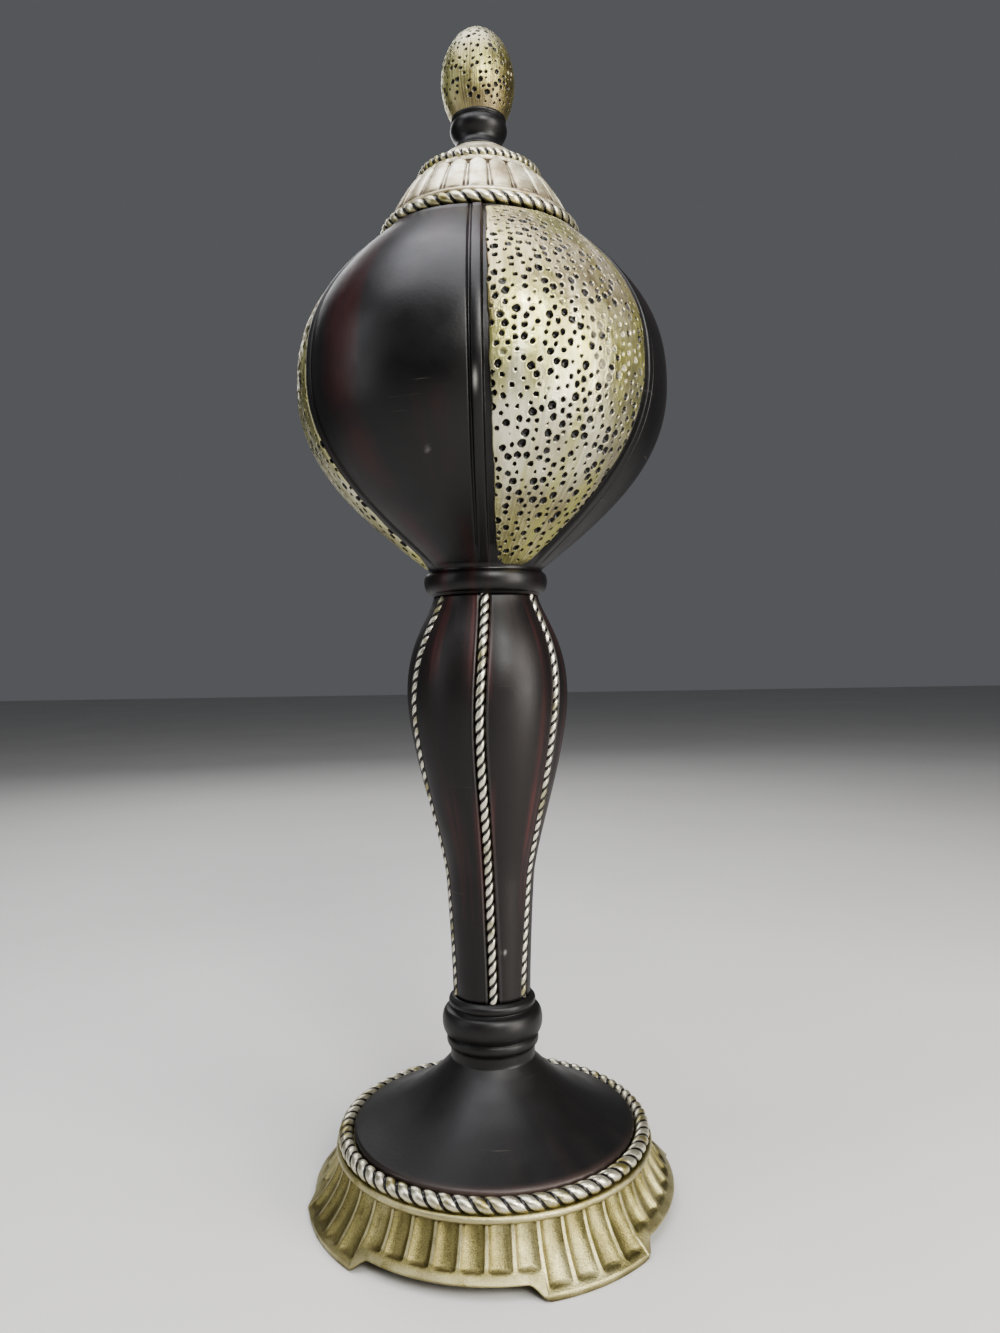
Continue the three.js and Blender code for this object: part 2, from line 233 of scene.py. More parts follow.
def add(tree, kind, inputs=None, **settings):
    """A new node with its settings made and its sockets filled or linked."""
    node = tree.nodes.new(kind)
    for setting, value in settings.items():
        setattr(node, setting, value)
    fill(tree, node, inputs or {})
    return node


def calc(tree, operation, *values):
    return add(tree, "ShaderNodeMath", dict(enumerate(values)), operation=operation).outputs[0]


def times(tree, first, second):
    return calc(tree, "MULTIPLY", first, second)


def vector_calc(tree, operation, *values, output=0):
    """The vector that an operation gives, or its plain number as output 1."""
    filled = dict(enumerate(values))
    return add(tree, "ShaderNodeVectorMath", filled, operation=operation).outputs[output]


def scaled(tree, vector, scale):
    filled = {0: vector, "Scale": scale}
    return add(tree, "ShaderNodeVectorMath", filled, operation="SCALE").outputs[0]


def remap(tree, value, low, high, to_low=0.0, to_high=1.0, interpolation="SMOOTHSTEP"):
    filled = {0: value, 1: low, 2: high, 3: to_low, 4: to_high}
    return add(tree, "ShaderNodeMapRange", filled, interpolation_type=interpolation).outputs[0]


# %% [markdown]
# A painted casting is never one flat colour. Every finish here starts from noise in the object's
# own space, so it stays put on the piece from any side. Brush streaks run down the piece, so
# their noise reads a direction round the axis closely and the height only loosely.


# %% Helpers for the finishes
def new_finish(name):
    made = bpy.data.materials.new(name)
    made.use_nodes = True
    return made, made.node_tree, made.node_tree.nodes["Principled BSDF"]


def colour_mix(tree, share, first, second):
    filled = {0: share, 6: first, 7: second}
    return add(tree, "ShaderNodeMix", filled, data_type="RGBA").outputs[2]


def layered(tree, ground, *layers):
    """A ground colour under layers of paint, each a share and a colour."""
    for share, colour in layers:
        ground = colour_mix(tree, share, ground, colour)
    return ground


def ramp(tree, value, stops):
    """A colour for each place between 0 and 1."""
    node = add(tree, "ShaderNodeValToRGB", {0: value})
    while len(node.color_ramp.elements) < len(stops):
        node.color_ramp.elements.new(0.5)
    for element, (place, colour) in zip(node.color_ramp.elements, stops):
        element.position = place
        element.color = (*colour, 1.0)
    return node.outputs[0]


def own_place(tree):
    return add(tree, "ShaderNodeTexCoord").outputs["Object"]


def height_of(tree, place):
    return add(tree, "ShaderNodeSeparateXYZ", {0: place}).outputs["Z"]


def cloud(tree, scale, detail=4.0, rough=0.55, where=None):
    place = where or own_place(tree)
    filled = {"Vector": place, "Scale": scale, "Detail": detail, "Roughness": rough}
    return add(tree, "ShaderNodeTexNoise", filled).outputs[0]


def mottled(tree, scale, detail, low, high):
    """A roughness that drifts between two values in soft patches."""
    return remap(tree, cloud(tree, scale, detail), 0.3, 0.7, low, high)


def streaks(tree, around, along, detail=3.0):
    """Noise that is fine round the axis and drawn out along it, like brush marks."""
    place = own_place(tree)
    flat = vector_calc(tree, "MULTIPLY", place, (1.0, 1.0, 0.0))
    round_axis = scaled(tree, vector_calc(tree, "NORMALIZE", flat), around)
    rise = vector_calc(tree, "MULTIPLY", place, (0.0, 0.0, along))
    return cloud(tree, 1.0, detail, where=vector_calc(tree, "ADD", round_axis, rise))


def noted(tree, note):
    return add(tree, "ShaderNodeAttribute", attribute_name=note).outputs["Fac"]


def bumped(tree, height, distance, strength):
    filled = {"Height": height, "Distance": distance, "Strength": strength}
    return add(tree, "ShaderNodeBump", filled).outputs[0]


# %% [markdown]
# The dark finish is a satin lacquer over a near-black ground. Up close it is warmer than black:
# a burgundy undercoat shows through in soft vertical streaks, and the lacquer has a fine
# orange-peel skin with a few hair-thin scratches. Where a note called scuff is set, the paint is
# worn through to a paler coat; on the stem the same note also paints a faint highlight along the
# lips beside the cords.

# %% Dark lacquer
DUST_COLOUR = (0.06, 0.052, 0.05)
SCRATCH_COLOUR = (0.12, 0.11, 0.1)
SCRATCH_STRETCH = (30.0, 30.0, 900.0)
WORN_PALE = (0.5, 0.49, 0.46)
WORN_BROWN = (0.24, 0.15, 0.12)


def dark_lacquer(name, ground, undercoat, streak_share, satin, worn):
    made, tree, shader = new_finish(name)
    under = remap(tree, streaks(tree, 4.5, 4.0, 2.5), 0.47, 0.72)
    under = times(tree, under, remap(tree, cloud(tree, 13.0, 2.0), 0.42, 0.6))
    dust = remap(tree, cloud(tree, 260.0, 5.0, 0.7), 0.62, 0.8)
    drawn_out = vector_calc(tree, "MULTIPLY", own_place(tree), SCRATCH_STRETCH)
    scratch = remap(tree, cloud(tree, 1.0, 2.0, where=drawn_out), 0.7, 0.73)
    scratch = times(tree, scratch, remap(tree, cloud(tree, 40.0, 2.0), 0.5, 0.62))
    colour = layered(
        tree,
        ground,
        (times(tree, under, streak_share), undercoat),
        (times(tree, dust, 0.12), DUST_COLOUR),
        (times(tree, scratch, 0.25), SCRATCH_COLOUR),
        (noted(tree, "scuff"), worn),
    )
    skin = calc(tree, "ADD", cloud(tree, 700.0, 3.0), times(tree, under, 0.6))
    look = {
        "Base Color": colour,
        "Roughness": mottled(tree, 90.0, 4.0, satin - 0.02, satin + 0.05),
        "Specular IOR Level": 0.42,
        "Normal": bumped(tree, skin, 0.00012, 0.35),
    }
    fill(tree, shader, look)
    return made


DARK = dark_lacquer(
    "dark_lacquer", (0.0045, 0.004, 0.0041), (0.036, 0.0063, 0.0066), 0.75, 0.37, WORN_PALE
)
STEM_DARK = dark_lacquer(
    "dark_stem", (0.0065, 0.0048, 0.0047), (0.062, 0.015, 0.014), 0.9, 0.43, WORN_PALE
)
FOOT_DARK = dark_lacquer(
    "dark_foot", (0.0085, 0.0078, 0.0076), (0.022, 0.014, 0.013), 0.4, 0.4, WORN_BROWN
)
print("finishes:", DARK.name, STEM_DARK.name, FOOT_DARK.name)

# %% [markdown]
# The pitted gold is a pale metallic paint rubbed over brown, so it drifts from cream through
# champagne and olive gold to brown-grey, with fine brush marks that run down the piece. Towards
# the middle of the belly a whiter band is painted in as a highlight, and near the top a pinkish
# cream band is painted in as a reflection. The paint never reached into the pits, which stay
# dark brown, but for one place where the brush filled them. A note called pit says how deep in a
# pit a point is; places and levels are in metres.

# %% Pitted gold paint
GOLD_TONES = (
    (0.0, (0.08, 0.06, 0.028)),
    (0.28, (0.21, 0.185, 0.08)),
    (0.55, (0.4, 0.38, 0.19)),
    (0.8, (0.59, 0.58, 0.38)),
    (1.0, (0.83, 0.81, 0.68)),
)
PAINTED_WHITE_SHEEN = (0.84, 0.82, 0.71)
PAINTED_PINK_SHEEN = (0.74, 0.58, 0.46)
OLIVE_GOLD = (0.35, 0.34, 0.1)
PIT_BROWN = (0.005, 0.004, 0.003)
PIT_FILLING = (0.4, 0.37, 0.27)


def pitted_gold(name, white_sheen_level, pink_sheen_level, reach, filled_place):
    """A reach, in metres, says how far up and down the painted white highlight and pink reflection
    spread.
    """
    made, tree, shader = new_finish(name)
    drift = cloud(tree, 13.0, 3.0)
    tone = calc(tree, "ADD", drift, times(tree, streaks(tree, 42.0, 16.0, 4.0), 0.5))
    colour = ramp(tree, remap(tree, tone, 0.54, 0.98, interpolation="LINEAR"), GOLD_TONES)
    place = own_place(tree)
    wander = times(tree, calc(tree, "SUBTRACT", cloud(tree, 20.0, 2.0), 0.5), reach)
    height = calc(tree, "ADD", height_of(tree, place), wander)

    def near(level):
        away = calc(tree, "ABSOLUTE", calc(tree, "SUBTRACT", height, level))
        return remap(tree, away, reach, reach * 0.2)

    # Painted highlight and painted reflection: a whiter band round one level and a pinkish band round
    # another.
    white_sheen = times(tree, near(white_sheen_level), remap(tree, drift, 0.38, 0.58, 0.2, 0.7))
    pink_sheen = times(tree, near(pink_sheen_level), remap(tree, drift, 0.4, 0.6, 0.1, 0.45))
    olive = times(tree, streaks(tree, 9.0, 22.0, 3.0), cloud(tree, 26.0, 3.0))
    olive = remap(tree, olive, 0.2, 0.33, 0.0, 0.65)
    paint_end = remap(tree, noted(tree, "pit"), 0.06, 0.42)
    filled_away = vector_calc(tree, "DISTANCE", place, filled_place, output=1)
    filled_in = remap(tree, filled_away, reach * 0.45, reach * 0.2)
    filled_in = times(tree, filled_in, remap(tree, cloud(tree, 160.0, 1.0), 0.4, 0.55))
    inside = colour_mix(tree, filled_in, PIT_BROWN, PIT_FILLING)
    layers = ((white_sheen, PAINTED_WHITE_SHEEN), (pink_sheen, PAINTED_PINK_SHEEN), (olive, OLIVE_GOLD), (paint_end, inside))
    marks = calc(tree, "ADD", streaks(tree, 190.0, 60.0, 5.0), cloud(tree, 900.0, 2.0))
    look = {
        "Base Color": layered(tree, colour, *layers),
        "Metallic": remap(tree, paint_end, 0.0, 1.0, 0.85, 0.1),
        "Roughness": mottled(tree, 160.0, 4.0, 0.26, 0.44),
        "Normal": bumped(tree, marks, 0.00016, 0.4),
    }
    fill(tree, shader, look)
    return made


# On the belly the painted white highlight lies round its middle and the painted pink reflection higher
# up; on the egg the white lies near its top.
PITTED_GOLD = pitted_gold("pitted_gold", 0.345, 0.425, 0.045, (0.058, -0.064, 0.382))
EGG_GOLD = pitted_gold("egg_gold", 0.553, 0.505, 0.02, (0.017, -0.005, 0.53))

# %% [markdown]
# The plinth wears an antique brass: olive gold on the faces, a brown wash that settled in the
# flutes, and a pale rub on the ridges between them. Two notes carry that: hollow grows towards
# the bottom of a flute and also carries painted shade under the bead, beside the rope, in the
# creases at the ends and sides of the flutes and under the arches, and ridge marks the edges
# that a cloth would have polished.

# %% Antique brass of the plinth
BRASS_TONES = (
    (0.3, (0.165, 0.14, 0.056)),
    (0.5, (0.31, 0.275, 0.118)),
    (0.66, (0.51, 0.465, 0.25)),
)
BRASS_WASH_AND_SHADE = (0.055, 0.043, 0.016)
BRASS_GRAIN = (0.07, 0.058, 0.024)
BRASS_RUB = (0.6, 0.55, 0.35)


def antique_brass():
    made, tree, shader = new_finish("antique_brass")
    drift = cloud(tree, 34.0, 4.0, 0.55)
    # The wash note carries the brown wash in the flutes and painted shade in the creases, under the
    # bead, beside the rope and under the arches.
    wash_and_shade = times(tree, noted(tree, "hollow"), remap(tree, drift, 0.35, 0.7, 0.95, 0.55))
    grain = remap(tree, cloud(tree, 1900.0, 2.0, 0.6), 0.46, 0.66, 0.0, 0.55)
    rub = times(tree, noted(tree, "ridge"), remap(tree, cloud(tree, 120.0), 0.25, 0.5))
    layers = ((wash_and_shade, BRASS_WASH_AND_SHADE), (grain, BRASS_GRAIN), (rub, BRASS_RUB))
    look = {
        "Base Color": layered(tree, ramp(tree, drift, BRASS_TONES), *layers),
        "Metallic": 0.9,
        "Roughness": mottled(tree, 200.0, 4.0, 0.3, 0.5),
        "Normal": bumped(tree, cloud(tree, 1500.0, 3.0, 0.65), 0.0003, 0.75),
    }
    fill(tree, shader, look)
    return made


BRASS = antique_brass()
print("finishes:", PITTED_GOLD.name, EGG_GOLD.name, BRASS.name)

# %% [markdown]
# Every rope and cord has bright strands and nearly black grooves, because the dark ground was
# painted first and the silver only wiped over the top. The underside of each rope takes a darker
# colour as painted shade. The note called groove comes from the tree that twists the rope, so the
# paint and the shape always agree. The cap is cream rubbed over gold, with a brown wash in its
# grooves, and its gadroons are darker towards the bottom.

# %% Wiped silver for ropes and cream for the cap
TARNISH = (0.16, 0.13, 0.07)
GROOVE_BLACK = (0.005, 0.004, 0.0035)
CREAM_TONES = (
    (0.34, (0.27, 0.215, 0.13)),
    (0.5, (0.52, 0.47, 0.33)),
    (0.66, (0.82, 0.79, 0.64)),
)
CREAM_WASH = (0.05, 0.034, 0.018)


def wiped_metal(name, light, patch_and_shade, patch_from, groove_from, shade_level):
    """Below the shade level, in metres, the patch colour takes over as painted shade on the underside.
    """
    made, tree, shader = new_finish(name)
    height = height_of(tree, own_place(tree))
    # Painted shade: below the shade level the rope turns to the darker patch colour.
    below = remap(tree, height, shade_level + 0.0012, shade_level - 0.0016)
    patches_and_shade = remap(tree, cloud(tree, 60.0, 4.0, 0.6), patch_from, patch_from + 0.16)
    patches_and_shade = calc(tree, "MAXIMUM", patches_and_shade, times(tree, below, 0.85))
    tarnish = remap(tree, cloud(tree, 380.0, 4.0, 0.7), 0.55, 0.75, 0.0, 0.5)
    sunk = remap(tree, noted(tree, "groove"), groove_from, groove_from + 0.2)
    look = {
        "Base Color": layered(tree, light, (patches_and_shade, patch_and_shade), (tarnish, TARNISH), (sunk, GROOVE_BLACK)),
        "Metallic": remap(tree, sunk, 0.0, 1.0, 0.85, 0.0),
        "Roughness": mottled(tree, 240.0, 3.0, 0.24, 0.42),
        "Normal": bumped(tree, cloud(tree, 800.0, 3.0), 0.0002, 0.4),
    }
    fill(tree, shader, look)
    return made


def cap_cream():
    made, tree, shader = new_finish("cap_cream")
    colour = ramp(tree, cloud(tree, 70.0, 5.0, 0.65), CREAM_TONES)
    sunk = remap(tree, noted(tree, "groove"), 0.2, 0.9)
    look = {
        "Base Color": colour_mix(tree, sunk, colour, CREAM_WASH),
        "Metallic": 0.7,
        "Roughness": mottled(tree, 200.0, 3.0, 0.34, 0.5),
        "Normal": bumped(tree, cloud(tree, 500.0, 3.0), 0.0002, 0.4),
    }
    fill(tree, shader, look)
    return made


RIM_SILVER = wiped_metal("rim_rope_silver", (0.62, 0.59, 0.47), (0.3, 0.26, 0.1), 0.49, 0.46, 0.03)
CAP_SILVER = wiped_metal("cap_rope_gold", (0.66, 0.62, 0.46), (0.28, 0.25, 0.11), 0.48, 0.44, 0.4535)
TOP_ROPE_GOLD = wiped_metal("top_rope_gold", (0.58, 0.54, 0.4), (0.3, 0.28, 0.09), 0.5, 0.38, 0.4815)
CORD_SILVER = wiped_metal("cord_silver", (0.63, 0.61, 0.51), (0.3, 0.28, 0.17), 0.5, 0.34, 0.09)
CREAM = cap_cream()
print("finishes:", [made.name for made in bpy.data.materials])

# %% [markdown]
# Geometry Nodes make what follows a path or repeats. These helpers start a tree with its named
# inputs, keep and read notes in it, run it on an object, and turn the result into a plain mesh,
# so nothing live is left.


# %% Helpers for rule-made pieces
def start_tree(name, numbers, whole_number):
    """A geometry tree with its group input and output nodes, and its inputs by name."""
    tree = bpy.data.node_groups.new(name, "GeometryNodeTree")
    inputs = {"Geometry": "Geometry", **dict.fromkeys(numbers, "Float")}
    inputs.update({whole_number: "Int", "Material": "Material"})
    for label, kind in inputs.items():
        tree.interface.new_socket(label, in_out="INPUT", socket_type="NodeSocket" + kind)
    tree.interface.new_socket("Geometry", in_out="OUTPUT", socket_type="NodeSocketGeometry")
    return tree, tree.nodes.new("NodeGroupInput").outputs, tree.nodes.new("NodeGroupOutput")


def keep_note(tree, geometry, note, value):
    filled = {"Geometry": geometry, "Name": note, "Value": value}
    node = add(tree, "GeometryNodeStoreNamedAttribute", filled, data_type="FLOAT", domain="POINT")
    return node.outputs[0]


def read_note(tree, note):
    return add(tree, "GeometryNodeInputNamedAttribute", {"Name": note}, data_type="FLOAT").outputs[0]


def end_tree(tree, geometry, distance, material, output):
    """The last steps of every tree: points move along their normals, and the piece is finished."""
    normal = add(tree, "GeometryNodeInputNormal").outputs[0]
    filled = {"Geometry": geometry, "Offset": scaled(tree, normal, distance)}
    moved = add(tree, "GeometryNodeSetPosition", filled).outputs[0]
    real = add(tree, "GeometryNodeRealizeInstances", {"Geometry": moved}).outputs[0]
    filled = {"Geometry": real, "Material": material}
    tree.links.new(add(tree, "GeometryNodeSetMaterial", filled).outputs[0], output.inputs[0])


def run_tree(source, tree, **values):
    """The object's mesh after the tree, as a new plain object with the same name."""
    modifier = source.modifiers.new("rule", "NODES")
    modifier.node_group = tree
    for item in tree.interface.items_tree:
        if item.in_out == "INPUT" and item.name in values:
            modifier[item.identifier] = values[item.name]
    graph = bpy.context.evaluated_depsgraph_get()
    evaluated = source.evaluated_get(graph)
    mesh = bpy.data.meshes.new_from_object(evaluated, preserve_all_data_layers=True, depsgraph=graph)
    name = source.name
    source.modifiers.remove(modifier)
    bpy.data.objects.remove(source)
    mesh.name = name
    mesh.shade_smooth()
    print(name, len(mesh.vertices), "points,", len(mesh.polygons), "faces by", tree.name)
    return in_scene(name, mesh)


# %% [markdown]
# A twisted rope looks like a round bar with slanting lobes. The tree sweeps a circle along any
# curve, then draws the skin in along a line that winds round the bar: the run along the curve,
# counted in strands, plus the turn round the section. One tree makes the rope rims, which are
# closed rings, and the cords in the stem's seams, which are open lines with capped ends.

# %% The twisted rope tree
LOBE_ROUNDNESS = 0.55
RING_POINTS = 720
STEPS_A_STRAND = 12
ROPE_GROOVE_SHARE = 0.17


def rope_tree():
    numbers = ("Thickness", "Strand", "Lean", "Groove", "Step")
    tree, given, output = start_tree("twisted_rope", numbers, "Sides")
    filled = {"Curve": given["Geometry"], "Length": given["Step"]}
    path = add(tree, "GeometryNodeResampleCurve", filled, mode="LENGTH").outputs[0]
    run = add(tree, "GeometryNodeSplineParameter").outputs["Length"]
    path = keep_note(tree, path, "run", run)
    filled = {"Resolution": given["Sides"], "Radius": times(tree, given["Thickness"], 0.5)}
    ring = add(tree, "GeometryNodeCurvePrimitiveCircle", filled, mode="RADIUS").outputs[0]
    ring = keep_note(tree, ring, "turn", add(tree, "GeometryNodeSplineParameter").outputs["Factor"])
    filled = {"Curve": path, "Profile Curve": ring, "Fill Caps": True}
    bar = add(tree, "GeometryNodeCurveToMesh", filled).outputs[0]
    strands = calc(tree, "DIVIDE", read_note(tree, "run"), given["Strand"])
    phase = calc(tree, "ADD", strands, times(tree, read_note(tree, "turn"), given["Lean"]))
    wave = calc(tree, "ABSOLUTE", calc(tree, "SINE", times(tree, phase, math.pi)))
    sunk = calc(tree, "SUBTRACT", 1.0, calc(tree, "POWER", wave, LOBE_ROUNDNESS))
    inward = times(tree, times(tree, sunk, given["Groove"]), -1.0)
    bar = keep_note(tree, bar, "groove", calc(tree, "SUBTRACT", 1.0, wave))
    end_tree(tree, bar, inward, given["Material"], output)
    return tree


ROPE_TREE = rope_tree()


def path_object(name, points, closed):
    """A curve through points in millimetres."""
    curve = bpy.data.curves.new(name, "CURVE")
    curve.dimensions = "3D"
    spline = curve.splines.new("POLY")
    spline.points.add(len(points) - 1)
    flat = np.hstack([points * MM, np.ones((len(points), 1))])
    spline.points.foreach_set("co", flat.ravel())
    spline.use_cyclic_u = closed
    return in_scene(name, curve)


def rope_ring(name, radius, level, thickness, strands, lean, finish, sides=20):
    path = path_object(name, place_round(radius, level, ring_angles(RING_POINTS)[0]), True)
    strand = TURN * radius * MM / strands
    return run_tree(
        path, ROPE_TREE, Thickness=thickness * MM, Strand=strand, Lean=lean,
        Groove=thickness * MM * ROPE_GROOVE_SHARE, Step=strand / STEPS_A_STRAND, Sides=sides,
        Material=finish,
    )


# %% [markdown]
# The pits were pressed into the model of the casting by hand, one by one, so they are uneven in
# size and in depth, and some nearly touch. The tree scatters points over the skin with a least
# distance between them, gives each its own radius and depth, and pushes every point of a dense
# skin in by how near it lies to the closest pit. A little wobble keeps the pits from being
# perfect circles, and the pressed-out metal stands up as a faint rim.

# %% The pitting tree
SMALL_PIT_POWER = 1.5
WOBBLE_SCALE = 380.0
WOBBLE_METRES = 0.0014
HAMMER_SCALE = 150.0
HAMMER_METRES = 0.00045


def pitting_tree():
    numbers = ("Density", "Spacing", "Smallest", "Largest", "Depth", "Rim")
    tree, given, output = start_tree("hand_pressed_pits", numbers, "Seed")
    skin = read_note(tree, "skin")

    def random(draw):
        """A share for each pit; each draw gives another."""
        filled = {"Min": 0.0, "Max": 1.0, "Seed": calc(tree, "ADD", given["Seed"], float(draw))}
        node = add(tree, "FunctionNodeRandomValue", filled, data_type="FLOAT")
        return shown(node.outputs, "Value")

    filled = {
        "Mesh": given["Geometry"],
        "Selection": calc(tree, "GREATER_THAN", skin, 0.5),
        "Distance Min": given["Spacing"],
        "Density Max": given["Density"],
        "Seed": given["Seed"],
    }
    kind = "GeometryNodeDistributePointsOnFaces"
    scatter = add(tree, kind, filled, distribute_method="POISSON").outputs[0]
    spread = calc(tree, "SUBTRACT", given["Largest"], given["Smallest"])
    mostly_small = calc(tree, "POWER", random(1), SMALL_PIT_POWER)
    radius = calc(tree, "ADD", given["Smallest"], times(tree, mostly_small, spread))
    shallow = remap(tree, random(2), 0.0, 0.22, 0.3, 1.0, "LINEAR")
    scatter = keep_note(tree, scatter, "pit_radius", radius)
    scatter = keep_note(tree, scatter, "pit_depth", shallow)

    place = add(tree, "GeometryNodeInputPosition").outputs[0]
    wobble = add(tree, "ShaderNodeTexNoise", {"Vector": place, "Scale": WOBBLE_SCALE, "Detail": 2.0})
    wobble = vector_calc(tree, "SUBTRACT", wobble.outputs["Color"], (0.5, 0.5, 0.5))
    wobble = vector_calc(tree, "MULTIPLY", wobble, (WOBBLE_METRES,) * 3)
    nearby = vector_calc(tree, "ADD", place, wobble)
    filled = {"Geometry": scatter, "Sample Position": nearby}
    nearest = add(tree, "GeometryNodeSampleNearest", filled, domain="POINT").outputs[0]

    def of_pit(value, kind="FLOAT"):
        """What a value is at the nearest pit."""
        filled = {"Geometry": scatter, "Value": value, "Index": nearest}
        node = add(tree, "GeometryNodeSampleIndex", filled, data_type=kind, domain="POINT")
        return shown(node.outputs, "Value")

    centre = of_pit(add(tree, "GeometryNodeInputPosition").outputs[0], "FLOAT_VECTOR")
    away = vector_calc(tree, "DISTANCE", nearby, centre, output=1)
    reach = calc(tree, "DIVIDE", away, of_pit(read_note(tree, "pit_radius")))
    own_depth = of_pit(read_note(tree, "pit_depth"))
    depth = times(tree, times(tree, remap(tree, reach, 1.0, 0.5), given["Depth"]), -1.0)
    depth = times(tree, depth, own_depth)
    rim = times(tree, remap(tree, reach, 1.55, 1.1), remap(tree, reach, 0.85, 1.05))
    rim = times(tree, rim, given["Rim"])
    hammer = add(tree, "ShaderNodeTexNoise", {"Vector": place, "Scale": HAMMER_SCALE, "Detail": 2.0})
    hammer = times(tree, calc(tree, "SUBTRACT", hammer.outputs[0], 0.5), HAMMER_METRES)
    lift = calc(tree, "ADD", calc(tree, "ADD", depth, rim), hammer)
    painted = times(tree, remap(tree, reach, 1.0, 0.78), own_depth)
    mesh = keep_note(tree, given["Geometry"], "pit", times(tree, painted, skin))
    end_tree(tree, mesh, times(tree, lift, skin), given["Material"], output)
    return tree


PITTING_TREE = pitting_tree()

# %% [markdown]
# The plinth is one casting. Its skirt is a sweep that flares to the feet, cut with 44 hollow
# flutes: four long ones run down over each foot, seven short ones stop above each arch. The
# whole skin is one turned sheet whose lower edge rises and falls with the arches, which keeps
# the feet, the flutes and the bead in a single closed mesh with clean shading.

# %% Sizes of the plinth
PLINTH_RADIUS = 88.2
SKIRT_TOP_RADIUS = 74.1
SKIRT_TOP_LEVEL = 24.5
SKIRT_ROWS = 50
SKIRT_SAMPLES = 400
FOOT_BAND = 2.8
ARCH_HEIGHT = 5.8
FOOT_COUNT = 4
FOOT_SPREAD = math.radians(30)
FOOT_SHOULDER = math.radians(6.5)
FOOT_TURN = math.radians(30.6)
FOOT_DEPTH = 21.0
FLUTE_COUNT = 44
FLUTE_COLUMNS = 20
LONG_FLUTES = 4
LONG_FLUTE_END = 4.0
SHORT_FLUTE_END = 9.0
FLUTE_DEPTH = 2.5
FLUTE_HALF = 0.85
FLUTE_END_ROUND = 1.9
BEAD_THICKNESS = 3.4
RIM_ROPE_RADIUS = 70.8
RIM_ROPE_THICKNESS = 7.0
RIM_ROPE_STRANDS = 66


def skirt_point(share):
    """Radius and level on the skirt's outline, from the foot's band up to the bead."""
    elbow_radius = mix(SKIRT_TOP_RADIUS, PLINTH_RADIUS, 0.14)
    elbow_level = mix(FOOT_BAND, SKIRT_TOP_LEVEL, 0.55)
    back = 1 - share
    radius = back**2 * PLINTH_RADIUS + 2 * back * share * elbow_radius + share**2 * SKIRT_TOP_RADIUS
    level = back**2 * FOOT_BAND + 2 * back * share * elbow_level + share**2 * SKIRT_TOP_LEVEL
    return radius, level


def skirt_share(level):
    shares = np.linspace(0, 1, SKIRT_SAMPLES)
    return np.interp(level, skirt_point(shares)[1], shares)


print("plinth:", FLUTE_COUNT, "flutes, pitch at the top", TURN * SKIRT_TOP_RADIUS / FLUTE_COUNT)

# %% [markdown]
# Each column of the sheet knows which flute it belongs to and how far across it lies. The
# hollow is a rounded channel with a flat ridge on either side. At its lower end it stops in a
# short step with rounded corners, as a gouge leaves it.


# %% The fluted skirt
def arch_edge(angle):
    """How high the lower edge of the skirt stands: zero on a foot, the arch's height between."""
    sector = TURN / FOOT_COUNT
    from_foot = np.abs((angle - FOOT_TURN + sector / 2) % sector - sector / 2)
    return ARCH_HEIGHT * smooth_step(FOOT_SPREAD / 2, FOOT_SPREAD / 2 + FOOT_SHOULDER, from_foot)


def flute_columns():
    """The angle of each column, crowded towards the ridges, and its place across its flute."""
    even = np.arange(FLUTE_COLUMNS) / FLUTE_COLUMNS
    place = np.tile(even - 0.09 * np.sin(TURN * even), FLUTE_COUNT)[None, :]
    pitch = TURN / FLUTE_COUNT
    first = FOOT_TURN - LONG_FLUTES / 2 * pitch
    flute = np.repeat(np.arange(FLUTE_COUNT), FLUTE_COLUMNS)[None, :]
    return first + (flute + place) * pitch, flute, np.abs(2 * place - 1)


